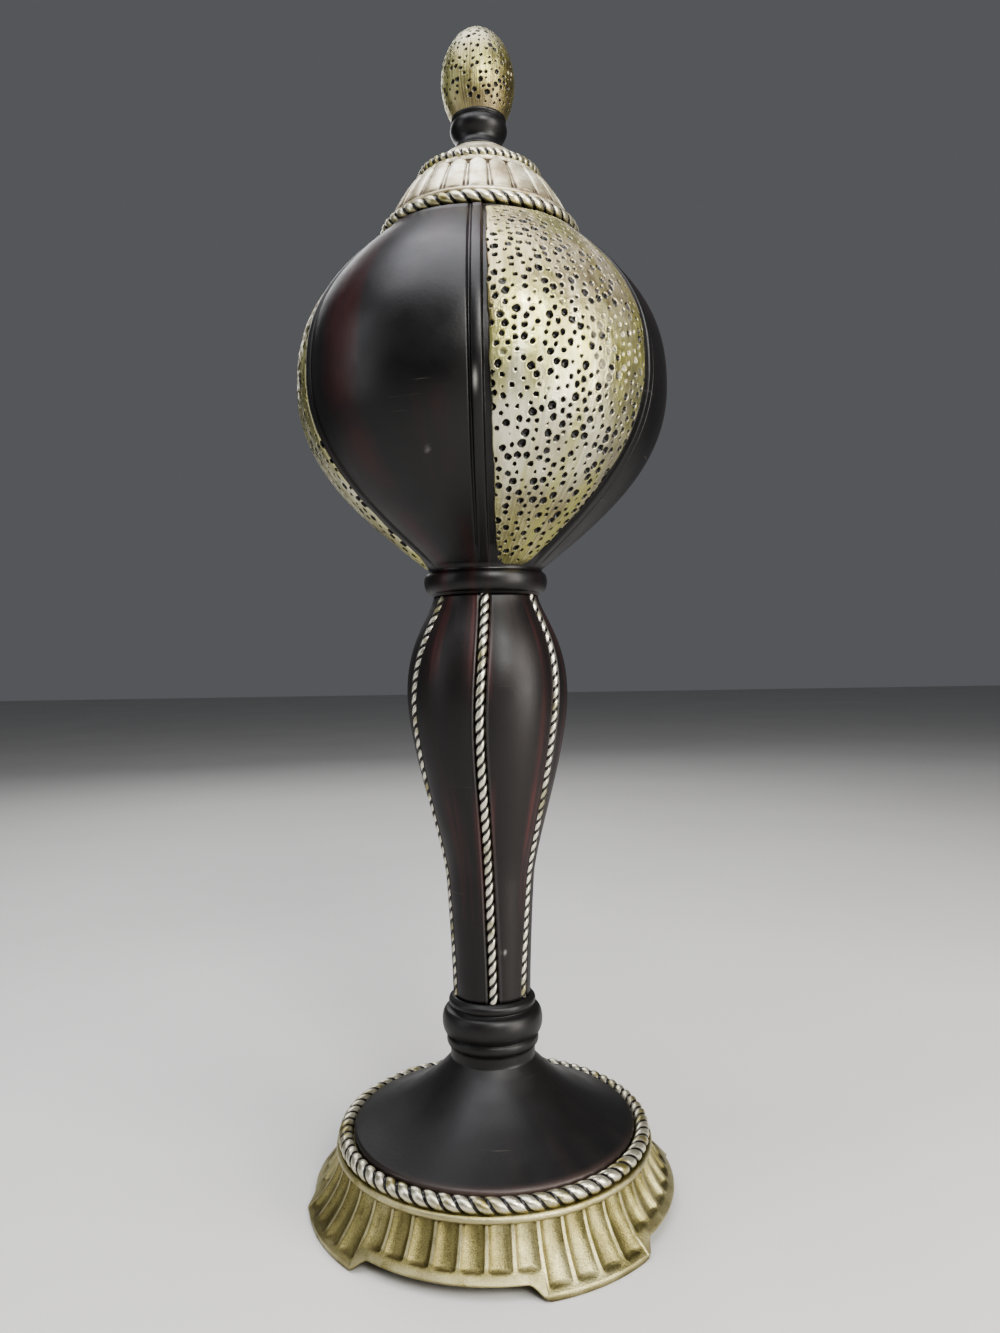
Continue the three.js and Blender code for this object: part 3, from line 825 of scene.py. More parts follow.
def make_plinth():
    angle, flute, across = flute_columns()
    edge = arch_edge(angle)
    low_share = skirt_share(np.maximum(edge + 0.7, FOOT_BAND))
    radius, level = skirt_point(mix(low_share, 1.0, np.linspace(0, 1, SKIRT_ROWS)[:, None]))
    long = flute % (FLUTE_COUNT // FOOT_COUNT) < LONG_FLUTES
    end_level = np.where(long, LONG_FLUTE_END, SHORT_FLUTE_END)
    from_end = level - end_level - FLUTE_END_ROUND * across**5
    opened = smooth_step(0.0, 0.7, from_end)
    closed = smooth_step(0.0, 0.9, SKIRT_TOP_LEVEL + 0.2 - level)
    channel = 1 - np.clip(across / FLUTE_HALF, 0, 1) ** 2.8
    hollow = channel * opened * closed
    on_band = np.clip((level - edge) / (end_level - edge), 0, 1)
    roll = 0.8 * np.sin(math.pi * on_band**0.6)
    radius = radius - FLUTE_DEPTH * hollow + roll
    ridge = smooth_step(0.86, 0.93, across) * opened * closed
    ridge = np.maximum(0.55 * ridge, 0.35 * np.sin(math.pi * on_band**0.7))
    # Painted shade: dark lines in the creases at the lower ends and the sides of the flutes and a dark
    # band under the bead, over the real wash in the flutes; the skirt is also darker along its lowest
    # millimetre.
    flute_end_shade = np.exp(-(((from_end - 0.3) / 0.38) ** 2)) * (across < 0.88)
    flute_side_shade = np.exp(-(((across - 0.83) / 0.05) ** 2)) * opened
    under_bead_shade = smooth_step(1.6, 0.2, SKIRT_TOP_LEVEL - level)
    wash_and_shade_note = 0.16 * hollow + 0.9 * flute_end_shade + 0.7 * flute_side_shade + 0.9 * under_bead_shade
    wash_and_shade_note = np.clip(wash_and_shade_note + 0.5 * smooth_step(1.0, 0.0, level - edge), 0, 1)

    def ring(ring_radius, ring_level):
        return ring_radius + 0 * edge, ring_level + 0 * edge

    below = [
        ring(PLINTH_RADIUS - FOOT_DEPTH - 0.5, ARCH_HEIGHT),
        ring(PLINTH_RADIUS - FOOT_DEPTH, np.maximum(edge, 0.0)),
        ring(radius[:1] - 1.0, edge),
        ring(radius[:1] - 0.2, edge + 0.25),
    ]
    above = [
        ring(
            SKIRT_TOP_RADIUS - 0.3 + BEAD_THICKNESS * 0.42 * math.cos(turn),
            SKIRT_TOP_LEVEL + BEAD_THICKNESS / 2 * (1 + math.sin(turn)),
        )
        for turn in np.linspace(-0.5 * math.pi, 0.5 * math.pi, 9)
    ]
    above += [
        ring(RIM_ROPE_RADIUS, PLINTH_SEAT - 1.2),
        ring(RIM_ROPE_RADIUS - RIM_ROPE_THICKNESS / 2 + 0.4, PLINTH_SEAT),
        ring(20.0, PLINTH_SEAT),
    ]
    underside = np.zeros((len(below), angle.shape[1]))
    polished = np.zeros((len(above), angle.shape[1]))
    # Painted shade on the bead's lowest row and on the rows beside the rope.
    bead_and_rope_shade = polished.copy()
    polished[2:7] = 0.5
    bead_and_rope_shade[0] = 0.8
    bead_and_rope_shade[-4:] = 0.9
    # The underside under the arches gets painted shade too.
    notes = {
        "hollow": np.vstack([underside + 0.6, wash_and_shade_note, bead_and_rope_shade]),
        "ridge": np.vstack([underside, ridge, polished]),
    }
    radius, level = (np.vstack(part) for part in zip(*below, (radius, level), *above))
    return turned("plinth_casting", radius, level, angle, (ARCH_HEIGHT, PLINTH_SEAT), notes, BRASS)


plinth = make_plinth()
rim_rope = rope_ring(
    "plinth_rope", RIM_ROPE_RADIUS, PLINTH_SEAT + 0.5, RIM_ROPE_THICKNESS,
    RIM_ROPE_STRANDS, -2.0, RIM_SILVER,
)

# %% [markdown]
# The dark foot is plain turning: a flat disc inside the rope, a trumpet that climbs to the neck,
# and a collar of a thin ring, a fat torus and a rim. It needs only a good outline, so
# its curves are cut into short steps and turned in one piece.

# %% The trumpet foot and its collar
PEDESTAL_EDGE = 3.4
NECK_RADIUS = 20.2
NECK_LEVEL = 34.0
COLLAR_RADIUS = 24.1
STEM_FOOT_RADIUS = 18.5
TRUMPET_STEPS = 60
PEDESTAL_STEP = 1.4
PEDESTAL_COLUMNS = 150
WORN_SIDE = math.radians(10)
WORN_SPREAD = math.radians(48)


def round_ring(radius, level, reach, height, steps=8):
    """Half an ellipse that bulges outwards, from its underside to its top."""
    turn = np.linspace(-math.pi / 2, math.pi / 2, steps + 1)
    return np.stack([radius + reach * np.cos(turn), level + height / 2 * np.sin(turn)], 1)


def make_pedestal():
    height = PEDESTAL_HIGH - PEDESTAL_LOW
    collar = height - NECK_LEVEL
    rise = NECK_LEVEL - PEDESTAL_EDGE

    def trumpet_point(out, up):
        return mix(NECK_RADIUS, DISC_RADIUS, out), PEDESTAL_EDGE + rise * up

    def lift(share):
        return NECK_LEVEL + collar * share

    trumpet = [
        trumpet_point(1.0, 0.0),
        trumpet_point(0.72, 0.19),
        trumpet_point(0.44, 0.42),
        trumpet_point(0.22, 0.66),
        trumpet_point(0.08, 0.86),
        trumpet_point(0.0, 1.0),
    ]
    fat_reach = COLLAR_RADIUS - NECK_RADIUS - 1.3
    rows = [
        [(30.0, 0.0)],
        [(DISC_RADIUS - 0.5, 0.0), (DISC_RADIUS, 0.5), (DISC_RADIUS, PEDESTAL_EDGE - 0.6)],
        smooth_at(trumpet, np.linspace(0, len(trumpet) - 1, TRUMPET_STEPS + 1))[1:],
        [(NECK_RADIUS + 0.1, lift(0.19))],
        round_ring(NECK_RADIUS + 0.9, lift(0.29), 1.0, collar * 0.16),
        [(NECK_RADIUS + 1.3, lift(0.385))],
        round_ring(NECK_RADIUS + 1.3, lift(0.59), fat_reach, collar * 0.4, 20),
        [(STEM_FOOT_RADIUS + 1.6, lift(0.815))],
        round_ring(STEM_FOOT_RADIUS + 1.2, lift(0.9), 1.2, collar * 0.14),
        [(STEM_FOOT_RADIUS + 0.8, height), (8.0, height)],
    ]
    outline = evenly(np.vstack(rows), PEDESTAL_STEP)
    angle = ring_angles(PEDESTAL_COLUMNS)
    radius, level = outline[:, :1], outline[:, 1:]
    from_side = (angle - WORN_SIDE + math.pi) % TURN - math.pi
    worn_side = np.exp(-((from_side / WORN_SPREAD) ** 2))
    from_edge = np.abs(radius - DISC_RADIUS) + np.abs(level - PEDESTAL_EDGE)
    notes = {"scuff": 0.2 * smooth_step(4.5, 0.0, from_edge) * worn_side}
    poles = (PEDESTAL_LOW, PEDESTAL_HIGH)
    return turned("trumpet_foot", radius, PEDESTAL_LOW + level, angle, poles, notes, FOOT_DARK)


pedestal = make_pedestal()

# %% [markdown]
# The stem swells and narrows like a baluster. Its section is six shallow lobes, and each seam
# between two lobes is a channel with a fine raised lip on either side, in which a cord lies. The
# cords were laid by hand, so no two seams are quite straight or alike: each has its own list of
# how many degrees it leans off its even place, at four places from the foot to the top.

# %% The lobed stem
LOBES = 6
STEM_CALF_RADIUS = 21.1
STEM_CALF_LEVEL = 56.0
STEM_SWELL_RADIUS = 38.4
STEM_SWELL_LEVEL = 144.0
STEM_TOP_RADIUS = 24.9
STEM_ARC_STEPS = 34
LOBE_FALL = 0.04
SEAM_DEPTH = 1.7
SEAM_COLUMNS = 17
LOBE_COLUMNS = 13
CORD_WIDTH = 4.2
CORD_SUNK = 2.0
CORD_STRAND = 5.3
CORD_GROOVE = 0.75
CORD_STEP = 0.5
CORD_SIDES = 16
CORD_ARC_STEPS = 30
CORD_SPACING = 2.0
STEM_HEIGHT = STEM_HIGH - STEM_LOW
SEAM_LEANS = (
    (2.6, -1.8, -5.3, -0.5),
    (-1.7, 5.0, -2.0, 4.0),
    (2.0, 3.0, -2.0, 0.0),
    (0.0, -2.0, 3.0, 0.0),
    (-4.0, -6.0, -2.0, 0.0),
    (-14.0, -17.0, -8.0, 2.0),
)


def stem_outline(steps):
    climb = STEM_SWELL_LEVEL - STEM_CALF_LEVEL
    neck = STEM_HEIGHT - STEM_SWELL_LEVEL
    to_calf = (
        (mix(STEM_FOOT_RADIUS, STEM_CALF_RADIUS, 0.15), STEM_CALF_LEVEL * 0.35),
        (mix(STEM_FOOT_RADIUS, STEM_CALF_RADIUS, 0.55), STEM_CALF_LEVEL * 0.7),
        (STEM_CALF_RADIUS, STEM_CALF_LEVEL),
        steps,
    )
    to_swell = (
        (mix(STEM_CALF_RADIUS, STEM_SWELL_RADIUS, 0.09), STEM_CALF_LEVEL + climb * 0.21),
        (STEM_SWELL_RADIUS, STEM_CALF_LEVEL + climb * 0.69),
        (STEM_SWELL_RADIUS, STEM_SWELL_LEVEL),
        steps,
    )
    to_top = (
        (STEM_SWELL_RADIUS, STEM_SWELL_LEVEL + neck * 0.54),
        (mix(STEM_TOP_RADIUS, STEM_SWELL_RADIUS, 0.16), STEM_SWELL_LEVEL + neck * 0.79),
        (STEM_TOP_RADIUS, STEM_HEIGHT),
        steps,
    )
    return curved((STEM_FOOT_RADIUS, 0.0), to_calf, to_swell, to_top)


def seam_angle(seam, level):
    """The angle of a seam at each level of the stem."""
    leans = [[lean] for lean in SEAM_LEANS[seam % LOBES]]
    lean = smooth_at(leans, level / STEM_HEIGHT * (len(leans) - 1))[..., 0]
    return seam * TURN / LOBES + np.radians(lean)


def mark(angle, radius, level, at_degrees, at_level, wide, tall):
    """A soft elliptical mark, in millimetres across and up."""
    aside = (angle - math.radians(at_degrees)) * radius
    return np.exp(-((aside / wide) ** 2) - ((level - at_level) / tall) ** 2)


def make_stem():
    outline = stem_outline(STEM_ARC_STEPS)
    radius, level = outline[:, :1], outline[:, 1:]
    near_seam = np.linspace(0, CORD_WIDTH / 2 + 2.6, SEAM_COLUMNS)[None, :]
    to_crest = np.linspace(0, 1, LOBE_COLUMNS)[None, 1:]
    angles, aways, crests = [], [], []
    for seam in range(LOBES):
        start = seam_angle(seam, level)
        gap = seam_angle(seam + 1, level) - start
        edge = near_seam[:, -1:] / radius
        rising = np.hstack([near_seam / radius, mix(edge, gap / 2, to_crest)])
        across = np.hstack([rising, gap - rising[:, -2:0:-1]])
        from_seam = np.minimum(across, gap - across)
        angles.append(start + across)
        aways.append(from_seam * radius)
        crests.append(1 - from_seam / (gap / 2))
    angle, away, crest = np.hstack(angles), np.hstack(aways), np.hstack(crests)
    lobe = radius * (1 - LOBE_FALL * crest**2)
    closed = smooth_step(1.0, 3.5, STEM_HEIGHT - level)
    channel = smooth_step(CORD_WIDTH / 2 + 0.8, CORD_WIDTH / 2 - 0.2, away) * closed
    lip = np.exp(-(((away - CORD_WIDTH / 2 - 1.4) / 0.4) ** 2))
    carved = lobe - SEAM_DEPTH * channel + 0.32 * lip
    scuff = mark(angle, radius, level, 20.0, 23.5, 0.6, 0.6)
    scuff = scuff + 0.6 * mark(angle, radius, level, 14.0, 24.6, 0.4, 0.4)
    # A faint pale line along each lip beside the cords is a painted highlight, carried in the scuff note
    # with the real scuffs.
    scuff = scuff + 0.05 * np.exp(-(((away - CORD_WIDTH / 2 - 1.2) / 0.3) ** 2))
    notes = {"scuff": np.clip(scuff, 0, 1)}
    poles = (STEM_LOW, STEM_HIGH)
    return turned("lobed_stem", carved, STEM_LOW + level, angle, poles, notes, STEM_DARK)


stem = make_stem()

# %% [markdown]
# The six cords follow their seams from the collar up to the neck ring. Each is a run of the
# rope tree along a line that lies in the channel, sunk so far that only the upper half shows.


# %% The six cords
def make_cord(seam):
    outline = evenly(stem_outline(CORD_ARC_STEPS), CORD_SPACING)
    seat, level = outline[:, 0] - CORD_SUNK, outline[:, 1]
    line = place_round(seat, STEM_LOW + level, seam_angle(seam, level))
    return run_tree(
        path_object("cord_%d" % (seam + 1), line, False), ROPE_TREE, Thickness=CORD_WIDTH * MM,
        Strand=CORD_STRAND * MM, Lean=-2.0, Groove=CORD_GROOVE * MM, Step=CORD_STEP * MM,
        Sides=CORD_SIDES, Material=CORD_SILVER,
    )


cords = [make_cord(seam) for seam in range(LOBES)]

# %% [markdown]
# The belly stands on a plain dark ring. Above it the dark skin carries three plain panels, each
# puffed like a cushion and framed by a flat raised rib on both sides, and it sinks to a floor
# where the pitted panels are set in. Columns of points are crowded where the ribs are, because
# that is where the form turns sharply.

# %% Sizes of the belly
NECK_RING_HEIGHT = 12.5
NECK_RING_RADIUS = 29.0
NECK_WAIST_RADIUS = 27.1
BELLY_LEVEL = 96.2
BULB_TOP_RADIUS = 49.5
BULB_TOP_LIP = 1.6
PANEL_PAIRS = 3
PANEL_TURN = math.radians(29)
PAIR_TURN = TURN / PANEL_PAIRS
RIB_TURN = math.radians(29.6)
RIB_WIDTH = 4.8
GROOVE_AT_NECK = 4.2
GROOVE_AT_TOP = 1.5
FINE_GROOVE = 0.9
GROOVE_DEPTH = 2.2
PILLOW_FALL = 1.3
BULB_HEIGHT = BULB_HIGH - BULB_LOW
RING_STEPS = 18
BELLY_ARC_STEPS = 62
FLOOR_COLUMNS = 6
RIB_COLUMNS = 40
PILLOW_COLUMNS = 18


def belly_outline(steps):
    """Radius and level of the panels from the ring up to the top lip."""
    top = (BULB_TOP_RADIUS, BULB_HEIGHT - BULB_TOP_LIP)
    below = BELLY_LEVEL - NECK_RING_HEIGHT
    above = top[1] - BELLY_LEVEL
    to_belly = (
        (mix(NECK_WAIST_RADIUS, BULB_RADIUS, 0.63), NECK_RING_HEIGHT + below * 0.35),
        (BULB_RADIUS, NECK_RING_HEIGHT + below * 0.61),
        (BULB_RADIUS, BELLY_LEVEL),
        steps,
    )
    to_top = (
        (BULB_RADIUS, BELLY_LEVEL + above * 0.31),
        (mix(BULB_TOP_RADIUS, BULB_RADIUS, 0.89), BELLY_LEVEL + above * 0.59),
        top,
        steps,
    )
    return curved((NECK_WAIST_RADIUS, NECK_RING_HEIGHT), to_belly, to_top)


print("belly:", BULB_HEIGHT, "high,", len(belly_outline(BELLY_ARC_STEPS)), "rows of points")

# %% [markdown]
# One function tells how far the dark skin lies below the full round at any place. It reads like
# a section drawing, in millimetres beside the middle of the rib: the floor under the pitted
# panel, the deep groove, the rib with its rounded edges, the fine groove beside it, and the
# cushion that swells towards its middle. Rib and grooves keep their width down to the neck, so
# the columns of the mesh draw together there.


# %% The dark skin of the belly
def belly_columns(radius):
    """The angle of each column at each radius, from the middle of a pitted panel round."""
    beside = np.linspace(-6.3, 6.0, RIB_COLUMNS)[None, :]
    rib = RIB_TURN + beside / np.maximum(radius, NECK_WAIST_RADIUS)
    floor = rib[:, :1] * np.linspace(0, 1, FLOOR_COLUMNS)[None, :-1]
    pillow = mix(rib[:, -1:], PAIR_TURN / 2, np.linspace(0, 1, PILLOW_COLUMNS)[None, 1:])
    half = np.hstack([floor, rib, pillow])
    both = np.hstack([half, PAIR_TURN - half[:, -2:0:-1]])
    return PANEL_TURN + np.hstack([both + pair * PAIR_TURN for pair in range(PANEL_PAIRS)])


def panel_section(angle, radius, level):
    """The fall of the dark skin below the full radius."""
    out = np.abs((angle - PANEL_TURN + PAIR_TURN / 2) % PAIR_TURN - PAIR_TURN / 2)
    beside = (out - RIB_TURN) * radius
    rib = RIB_WIDTH / 2
    pillow_start = rib + FINE_GROOVE
    inner = (beside - pillow_start) / ((PAIR_TURN / 2 - RIB_TURN) * radius - pillow_start)
    pillow = PILLOW_FALL * np.clip(1 - inner, 0, 1) ** 3
    fall = mix(GROOVE_DEPTH + 0.9, PILLOW_FALL * 0.3, smooth_step(-rib - 0.4, -rib + 0.5, beside))
    fall = fall + 0.3 * (beside / rib) ** 2 * (np.abs(beside) < rib)
    fall = mix(fall, PILLOW_FALL * 1.8, smooth_step(rib - 0.5, rib + 0.3, beside))
    return mix(fall, pillow, smooth_step(pillow_start - 0.3, pillow_start + 0.9, beside))


def make_belly():
    panels = belly_outline(BELLY_ARC_STEPS)
    swell = NECK_RING_RADIUS + 1.3
    ring_top = NECK_RING_HEIGHT * 0.87
    seat = STEM_TOP_RADIUS + 0.7
    ring = ((swell, 1.2), (swell + 0.1, ring_top - 0.6), (NECK_WAIST_RADIUS + 0.3, ring_top), RING_STEPS)
    neck = [(10.0, 0.0), (seat, 0.0), *curved((seat, 1.0), ring), (NECK_WAIST_RADIUS, ring_top + 0.4)]
    lip = [
        (BULB_TOP_RADIUS - 0.5, BULB_HEIGHT - 0.6),
        (BULB_TOP_RADIUS - 1.5, BULB_HEIGHT - 0.1),
        (BULB_TOP_RADIUS - 2.6, BULB_HEIGHT - 0.5),
        (BULB_TOP_RADIUS - 3.6, BULB_HEIGHT - 1.4),
        (BULB_TOP_RADIUS - 6.5, BULB_HEIGHT - 1.4),
        (BULB_TOP_RADIUS - 7.2, BULB_HEIGHT),
        (12.0, BULB_HEIGHT),
    ]
    outline = np.vstack([neck, panels, lip])
    fullness = np.zeros((len(outline), 1))
    panel_rows = len(neck) + np.arange(len(panels))
    fullness[panel_rows, 0] = np.clip(np.arange(len(panels)) / 6, 0, 1)
    fullness[panel_rows[-1] + 1 : panel_rows[-1] + 3, 0] = (0.9, 0.5)
    full, level = outline[:, :1], outline[:, 1:]
    angle = belly_columns(full)
    radius = full - panel_section(angle, full, level) * fullness
    scuff = 0.45 * mark(angle, BULB_RADIUS, level, 358.8, 80.0, 0.9, 3.4)
    scuff = scuff + 0.8 * mark(angle, BULB_RADIUS, level, 343.0, 56.0, 0.5, 0.8)
    notes = {"scuff": np.clip(scuff, 0, 1)}
    return turned("belly_dark", radius, BULB_LOW + level, angle, (BULB_LOW, BULB_HIGH), notes, DARK)


belly = make_belly()

# %% [markdown]
# Each pitted panel is a thin cushion of metal set between two ribs. Its outer skin is a dense
# sheet, about half a millimetre a step, because the pits are only one and a half to four
# millimetres wide. The skin turns down at both edges and closes behind, where a few coarse faces
# are enough. A note called skin tells the pitting tree where it may press.

# %% The three pitted panels
PANEL_STEP = 0.55
PANEL_COLUMNS = 162
FINE_ARC_STEPS = 900
PANEL_EDGE_FALL = 1.2
PANEL_BACK = 1.6


def make_pitted_panel(number):
    centre = PANEL_TURN + number * PAIR_TURN
    outline = belly_outline(FINE_ARC_STEPS)
    lengths = np.concatenate([[0], np.cumsum(np.hypot(*np.diff(outline, axis=0).T))])
    places = np.arange(0.6, lengths[-1], PANEL_STEP)[:, None]
    radius = np.interp(places, lengths, outline[:, 0])
    level = np.interp(places, lengths, outline[:, 1])
    groove = mix(GROOVE_AT_NECK, GROOVE_AT_TOP, np.clip(level / BULB_HEIGHT, 0, 1))
    half = RIB_TURN - (RIB_WIDTH / 2 + groove) / radius
    ragged = 0.22 * np.sin(level / 4.3 + number) + 0.14 * np.sin(level / 1.7 + 2 * number)
    half = half + ragged / radius
    across = np.linspace(-1, 1, PANEL_COLUMNS)[None, :]
    fall = PILLOW_FALL * np.abs(across) ** 3.4
    edge = 0.55 * np.clip((np.abs(across) - 0.985) / 0.015, 0, 1) ** 2
    top_edge = 0.9 * np.clip((places - lengths[-1] + 1.2) / 1.2, 0, 1) ** 2
    wall = half + 0.15 / radius
    side = radius - PILLOW_FALL - PANEL_EDGE_FALL
    back = radius - (GROOVE_DEPTH + PANEL_BACK)
    around = [centre + across * half, centre + wall, centre + wall, centre - wall, centre - wall]
    depths = [radius - fall - edge - top_edge, side, back, back, side]
    points = place_round(np.hstack(depths), BULB_LOW + level, np.hstack(around))
    rows, columns = points.shape[:2]
    index = np.arange(rows * columns).reshape(rows, columns)
    faces = join_rings(index) + [index[0][::-1].tolist(), index[-1].tolist()]
    skin = np.zeros((rows, columns))
    skin[2:, :PANEL_COLUMNS] = 1.0
    name = "pitted_panel_%d" % (number + 1)
    return run_tree(
        mesh_object(name, points.reshape(-1, 3), faces, {"skin": skin}), PITTING_TREE,
        Density=230000.0, Spacing=3.55 * MM, Smallest=0.75 * MM, Largest=1.95 * MM,
        Depth=1.5 * MM, Rim=0.14 * MM, Seed=11 + number, Material=PITTED_GOLD,
    )


pitted_panels = [make_pitted_panel(number) for number in range(PANEL_PAIRS)]

# %% [markdown]
# The cap is a low dome of gadroons, shallow round-topped panels that are parted by a narrow
# raised strip between two fine grooves. They are carved into the turned skin by the place of
# each column across its gadroon, and their scalloped tops are cut where the upper rope sits.

# %% The gadrooned cap
CAP_BASE_INSET = 7.0
BASE_ROPE_INSET = 5.2
BASE_ROPE_THICKNESS = 6.4
CAP_ROPE_STRANDS = 48
CAP_FILLET_RADIUS = 43.3
CAP_FILLET_LEVEL = 8.2
GADROON_BASE = (42.2, 9.4)
GADROON_TOP = (31.0, 27.5)
GADROON_BULGE = 1.0
GADROONS = 24
GADROON_COLUMNS = 20
GADROON_ROWS = 42
TOP_ROPE_RADIUS = 27.2
TOP_ROPE_THICKNESS = 5.0
TOP_ROPE_LEVEL = 31.3
KNOB_SEAT_RADIUS = 13.2
DOME_STEPS = 16


def make_cap():
    height = CAP_HIGH - CAP_LOW
    base_radius = BULB_TOP_RADIUS - CAP_BASE_INSET
    share = np.linspace(0, 1, GADROON_ROWS)
    swell = GADROON_BULGE * np.sin(math.pi * share)
    band_radius = mix(GADROON_BASE[0], GADROON_TOP[0], share) + swell
    band = np.stack([band_radius, mix(GADROON_BASE[1], GADROON_TOP[1], share)], 1)
    fillet = round_ring(CAP_FILLET_RADIUS - 0.7, CAP_FILLET_LEVEL, 0.8, 1.7)
    below = [(10.0, 0.0), (base_radius, 0.0), (base_radius, 3.0), (base_radius, 6.6), *fillet]
    rope_seat = (GADROON_TOP[0] - 1.5, GADROON_TOP[1] + 1.2)
    dome_start = (TOP_ROPE_RADIUS - 0.4, TOP_ROPE_LEVEL + TOP_ROPE_THICKNESS * 0.35)
    dome = (
        (TOP_ROPE_RADIUS - 3.5, dome_start[1] + 2.6),
        (KNOB_SEAT_RADIUS + 4.0, height - 2.2),
        (KNOB_SEAT_RADIUS + 0.6, height),
        DOME_STEPS,
    )
    outline = np.vstack([below, band, [rope_seat], curved(dome_start, dome), [(5.0, height)]])
    angle = ring_angles(GADROONS * GADROON_COLUMNS)
    across = np.abs(2 * ((angle * GADROONS / TURN + 0.5) % 1.0) - 1)
    in_band = np.zeros((len(outline), 1))
    in_band[len(below) : len(below) + len(band)] = 1.0
    place = np.zeros((len(outline), 1))
    place[len(below) : len(below) + len(band), 0] = share
    strip_edge = 0.84 + 0.07 * place
    groove = np.exp(-(((across - strip_edge) / 0.07) ** 2))
    cushion = 0.55 * np.clip(1 - (across / strip_edge) ** 2, 0, 1) - 0.35 * (across > strip_edge)
    scallop = smooth_step(0.0, 0.05, place - (0.98 - 0.2 * across**2.0))
    ends = smooth_step(0.0, 0.06, place)
    shape = (cushion - 0.7 * groove) * (1 - scallop) - 2.0 * scallop
    radius = outline[:, :1] + in_band * ends * shape
    # The gadroons darken towards the bottom of the band.
    darker_low = 0.55 * smooth_step(0.3, 0.0, place)
    notes = {"groove": in_band * np.clip(ends * (groove + scallop) + darker_low, 0, 1)}
    level = CAP_LOW + outline[:, 1:]
    return turned("gadrooned_cap", radius, level, angle, (CAP_LOW, CAP_HIGH), notes, CREAM)


cap = make_cap()
cap_ropes = [
    rope_ring(
        "cap_lower_rope", BULB_TOP_RADIUS - BASE_ROPE_INSET,
        CAP_LOW + BASE_ROPE_THICKNESS / 2 + FIT_GAP, BASE_ROPE_THICKNESS,
        CAP_ROPE_STRANDS, -2.0, CAP_SILVER,
    ),
    rope_ring(
        "cap_upper_rope", TOP_ROPE_RADIUS, CAP_LOW + TOP_ROPE_LEVEL, TOP_ROPE_THICKNESS,
        CAP_ROPE_STRANDS, -1.0, TOP_ROPE_GOLD, 16,
    ),
]

# %% [markdown]
# The knob is two finishes on one casting: a dark collar with a waist, and a gold egg that sits
# in it like an acorn in its cup. The egg gets the same pressed pits as the belly, smaller and
# closer, so it goes through the same tree with other numbers.

# %% The knob
KNOB_WAIST_RADIUS = 11.1
KNOB_COLLAR_RADIUS = 13.6
KNOB_COLLAR_HEIGHT = 17.0
KNOB_COLUMNS = 96
EGG_RADIUS = 17.4
EGG_HEIGHT = 50.8
EGG_ROWS = 150
EGG_COLUMNS = 230


def make_collar():
    waist, wide = KNOB_WAIST_RADIUS, KNOB_COLLAR_RADIUS

    def at(radius, share):
        return radius, KNOB_COLLAR_HEIGHT * share

    profile = curved(
        (KNOB_SEAT_RADIUS, 0.4),
        (at(waist + 0.2, 0.14), at(waist - 0.2, 0.24), at(waist, 0.3), 8),
        (at(waist + 0.4, 0.42), at(wide + 0.1, 0.5), at(wide, 0.66), 10),
        (at(wide - 0.1, 0.76), at(wide - 0.7, 0.82), at(wide - 1.2, 0.86), 8),
        (at(wide - 0.2, 0.88), at(wide - 0.2, 0.97), at(wide - 1.4, 0.98), 8),
    )
    top = KNOB_COLLAR_HEIGHT + 0.3
    foot = [(4.0, 0.0), (KNOB_SEAT_RADIUS - 0.3, 0.0)]
    outline = np.vstack([foot, profile, [(wide - 2.2, top), (4.0, top)]])
    level = KNOB_LOW + outline[:, 1:]
    poles = (KNOB_LOW, KNOB_LOW + KNOB_COLLAR_HEIGHT + 0.3)
    angle = ring_angles(KNOB_COLUMNS)
    return turned("knob_collar", outline[:, :1], level, angle, poles, {"scuff": 0.0}, DARK)


def make_egg():
    middle = KNOB_HIGH - EGG_HEIGHT / 2
    low = math.asin((KNOB_LOW + KNOB_COLLAR_HEIGHT - 0.8 - middle) / (EGG_HEIGHT / 2))
    rise = np.linspace(low, math.pi / 2 - 0.012, EGG_ROWS)[:, None]
    radius = EGG_RADIUS * np.cos(rise)
    level = middle + EGG_HEIGHT / 2 * np.sin(rise)
    poles = (level[0, 0] - 0.2, KNOB_HIGH)
    notes = {"skin": smooth_step(0.0, 0.15, rise - low)}
    return run_tree(
        turned("knob_egg", radius, level, ring_angles(EGG_COLUMNS), poles, notes), PITTING_TREE,
        Density=300000.0, Spacing=2.6 * MM, Smallest=0.5 * MM, Largest=1.2 * MM,
        Depth=1.0 * MM, Rim=0.1 * MM, Seed=5, Material=EGG_GOLD,
    )


collar = make_collar()
egg = make_egg()

# %% [markdown]
# Nothing on the finial moves, so every piece rides on the one root body. Each stands for its solid,
# which is then hidden.

# %% Ride on the frame
dressed = {
    "plinth": [(plinth, "antique_gold"), (rim_rope, "pale_gold")],
    "pedestal": [(pedestal, "dark_finish")],
    "stem": [(stem, "dark_finish")] + [(cord, "pale_gold") for cord in cords],
    "bulb": [(belly, "dark_finish")] + [(panel, "pale_gold") for panel in pitted_panels],
    "cap": [(cap, "pale_gold")] + [(rope, "pale_gold") for rope in cap_ropes],
    "knob": [(collar, "dark_finish"), (egg, "pale_gold")],
}
for node_name, pieces in dressed.items():
    for piece, slot_name in pieces:
        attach(piece, "root")
        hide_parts(node_name)
print("dressed:", {node_name: len(pieces) for node_name, pieces in dressed.items()})

# %% [markdown]
# The stage is plain: a pale floor, and a soft grey room. The photo was lit from above, with broad
# soft light from the front and the right and a weaker one from the left, so soft boxes stand
# there, and one more behind for the views from the back. They are large, because the lacquer
# shows the shape of every lamp. For each lamp the list has its place, the level on the finial's
# axis at which it aims, its width and height, all in metres, its power in watts and its tint.

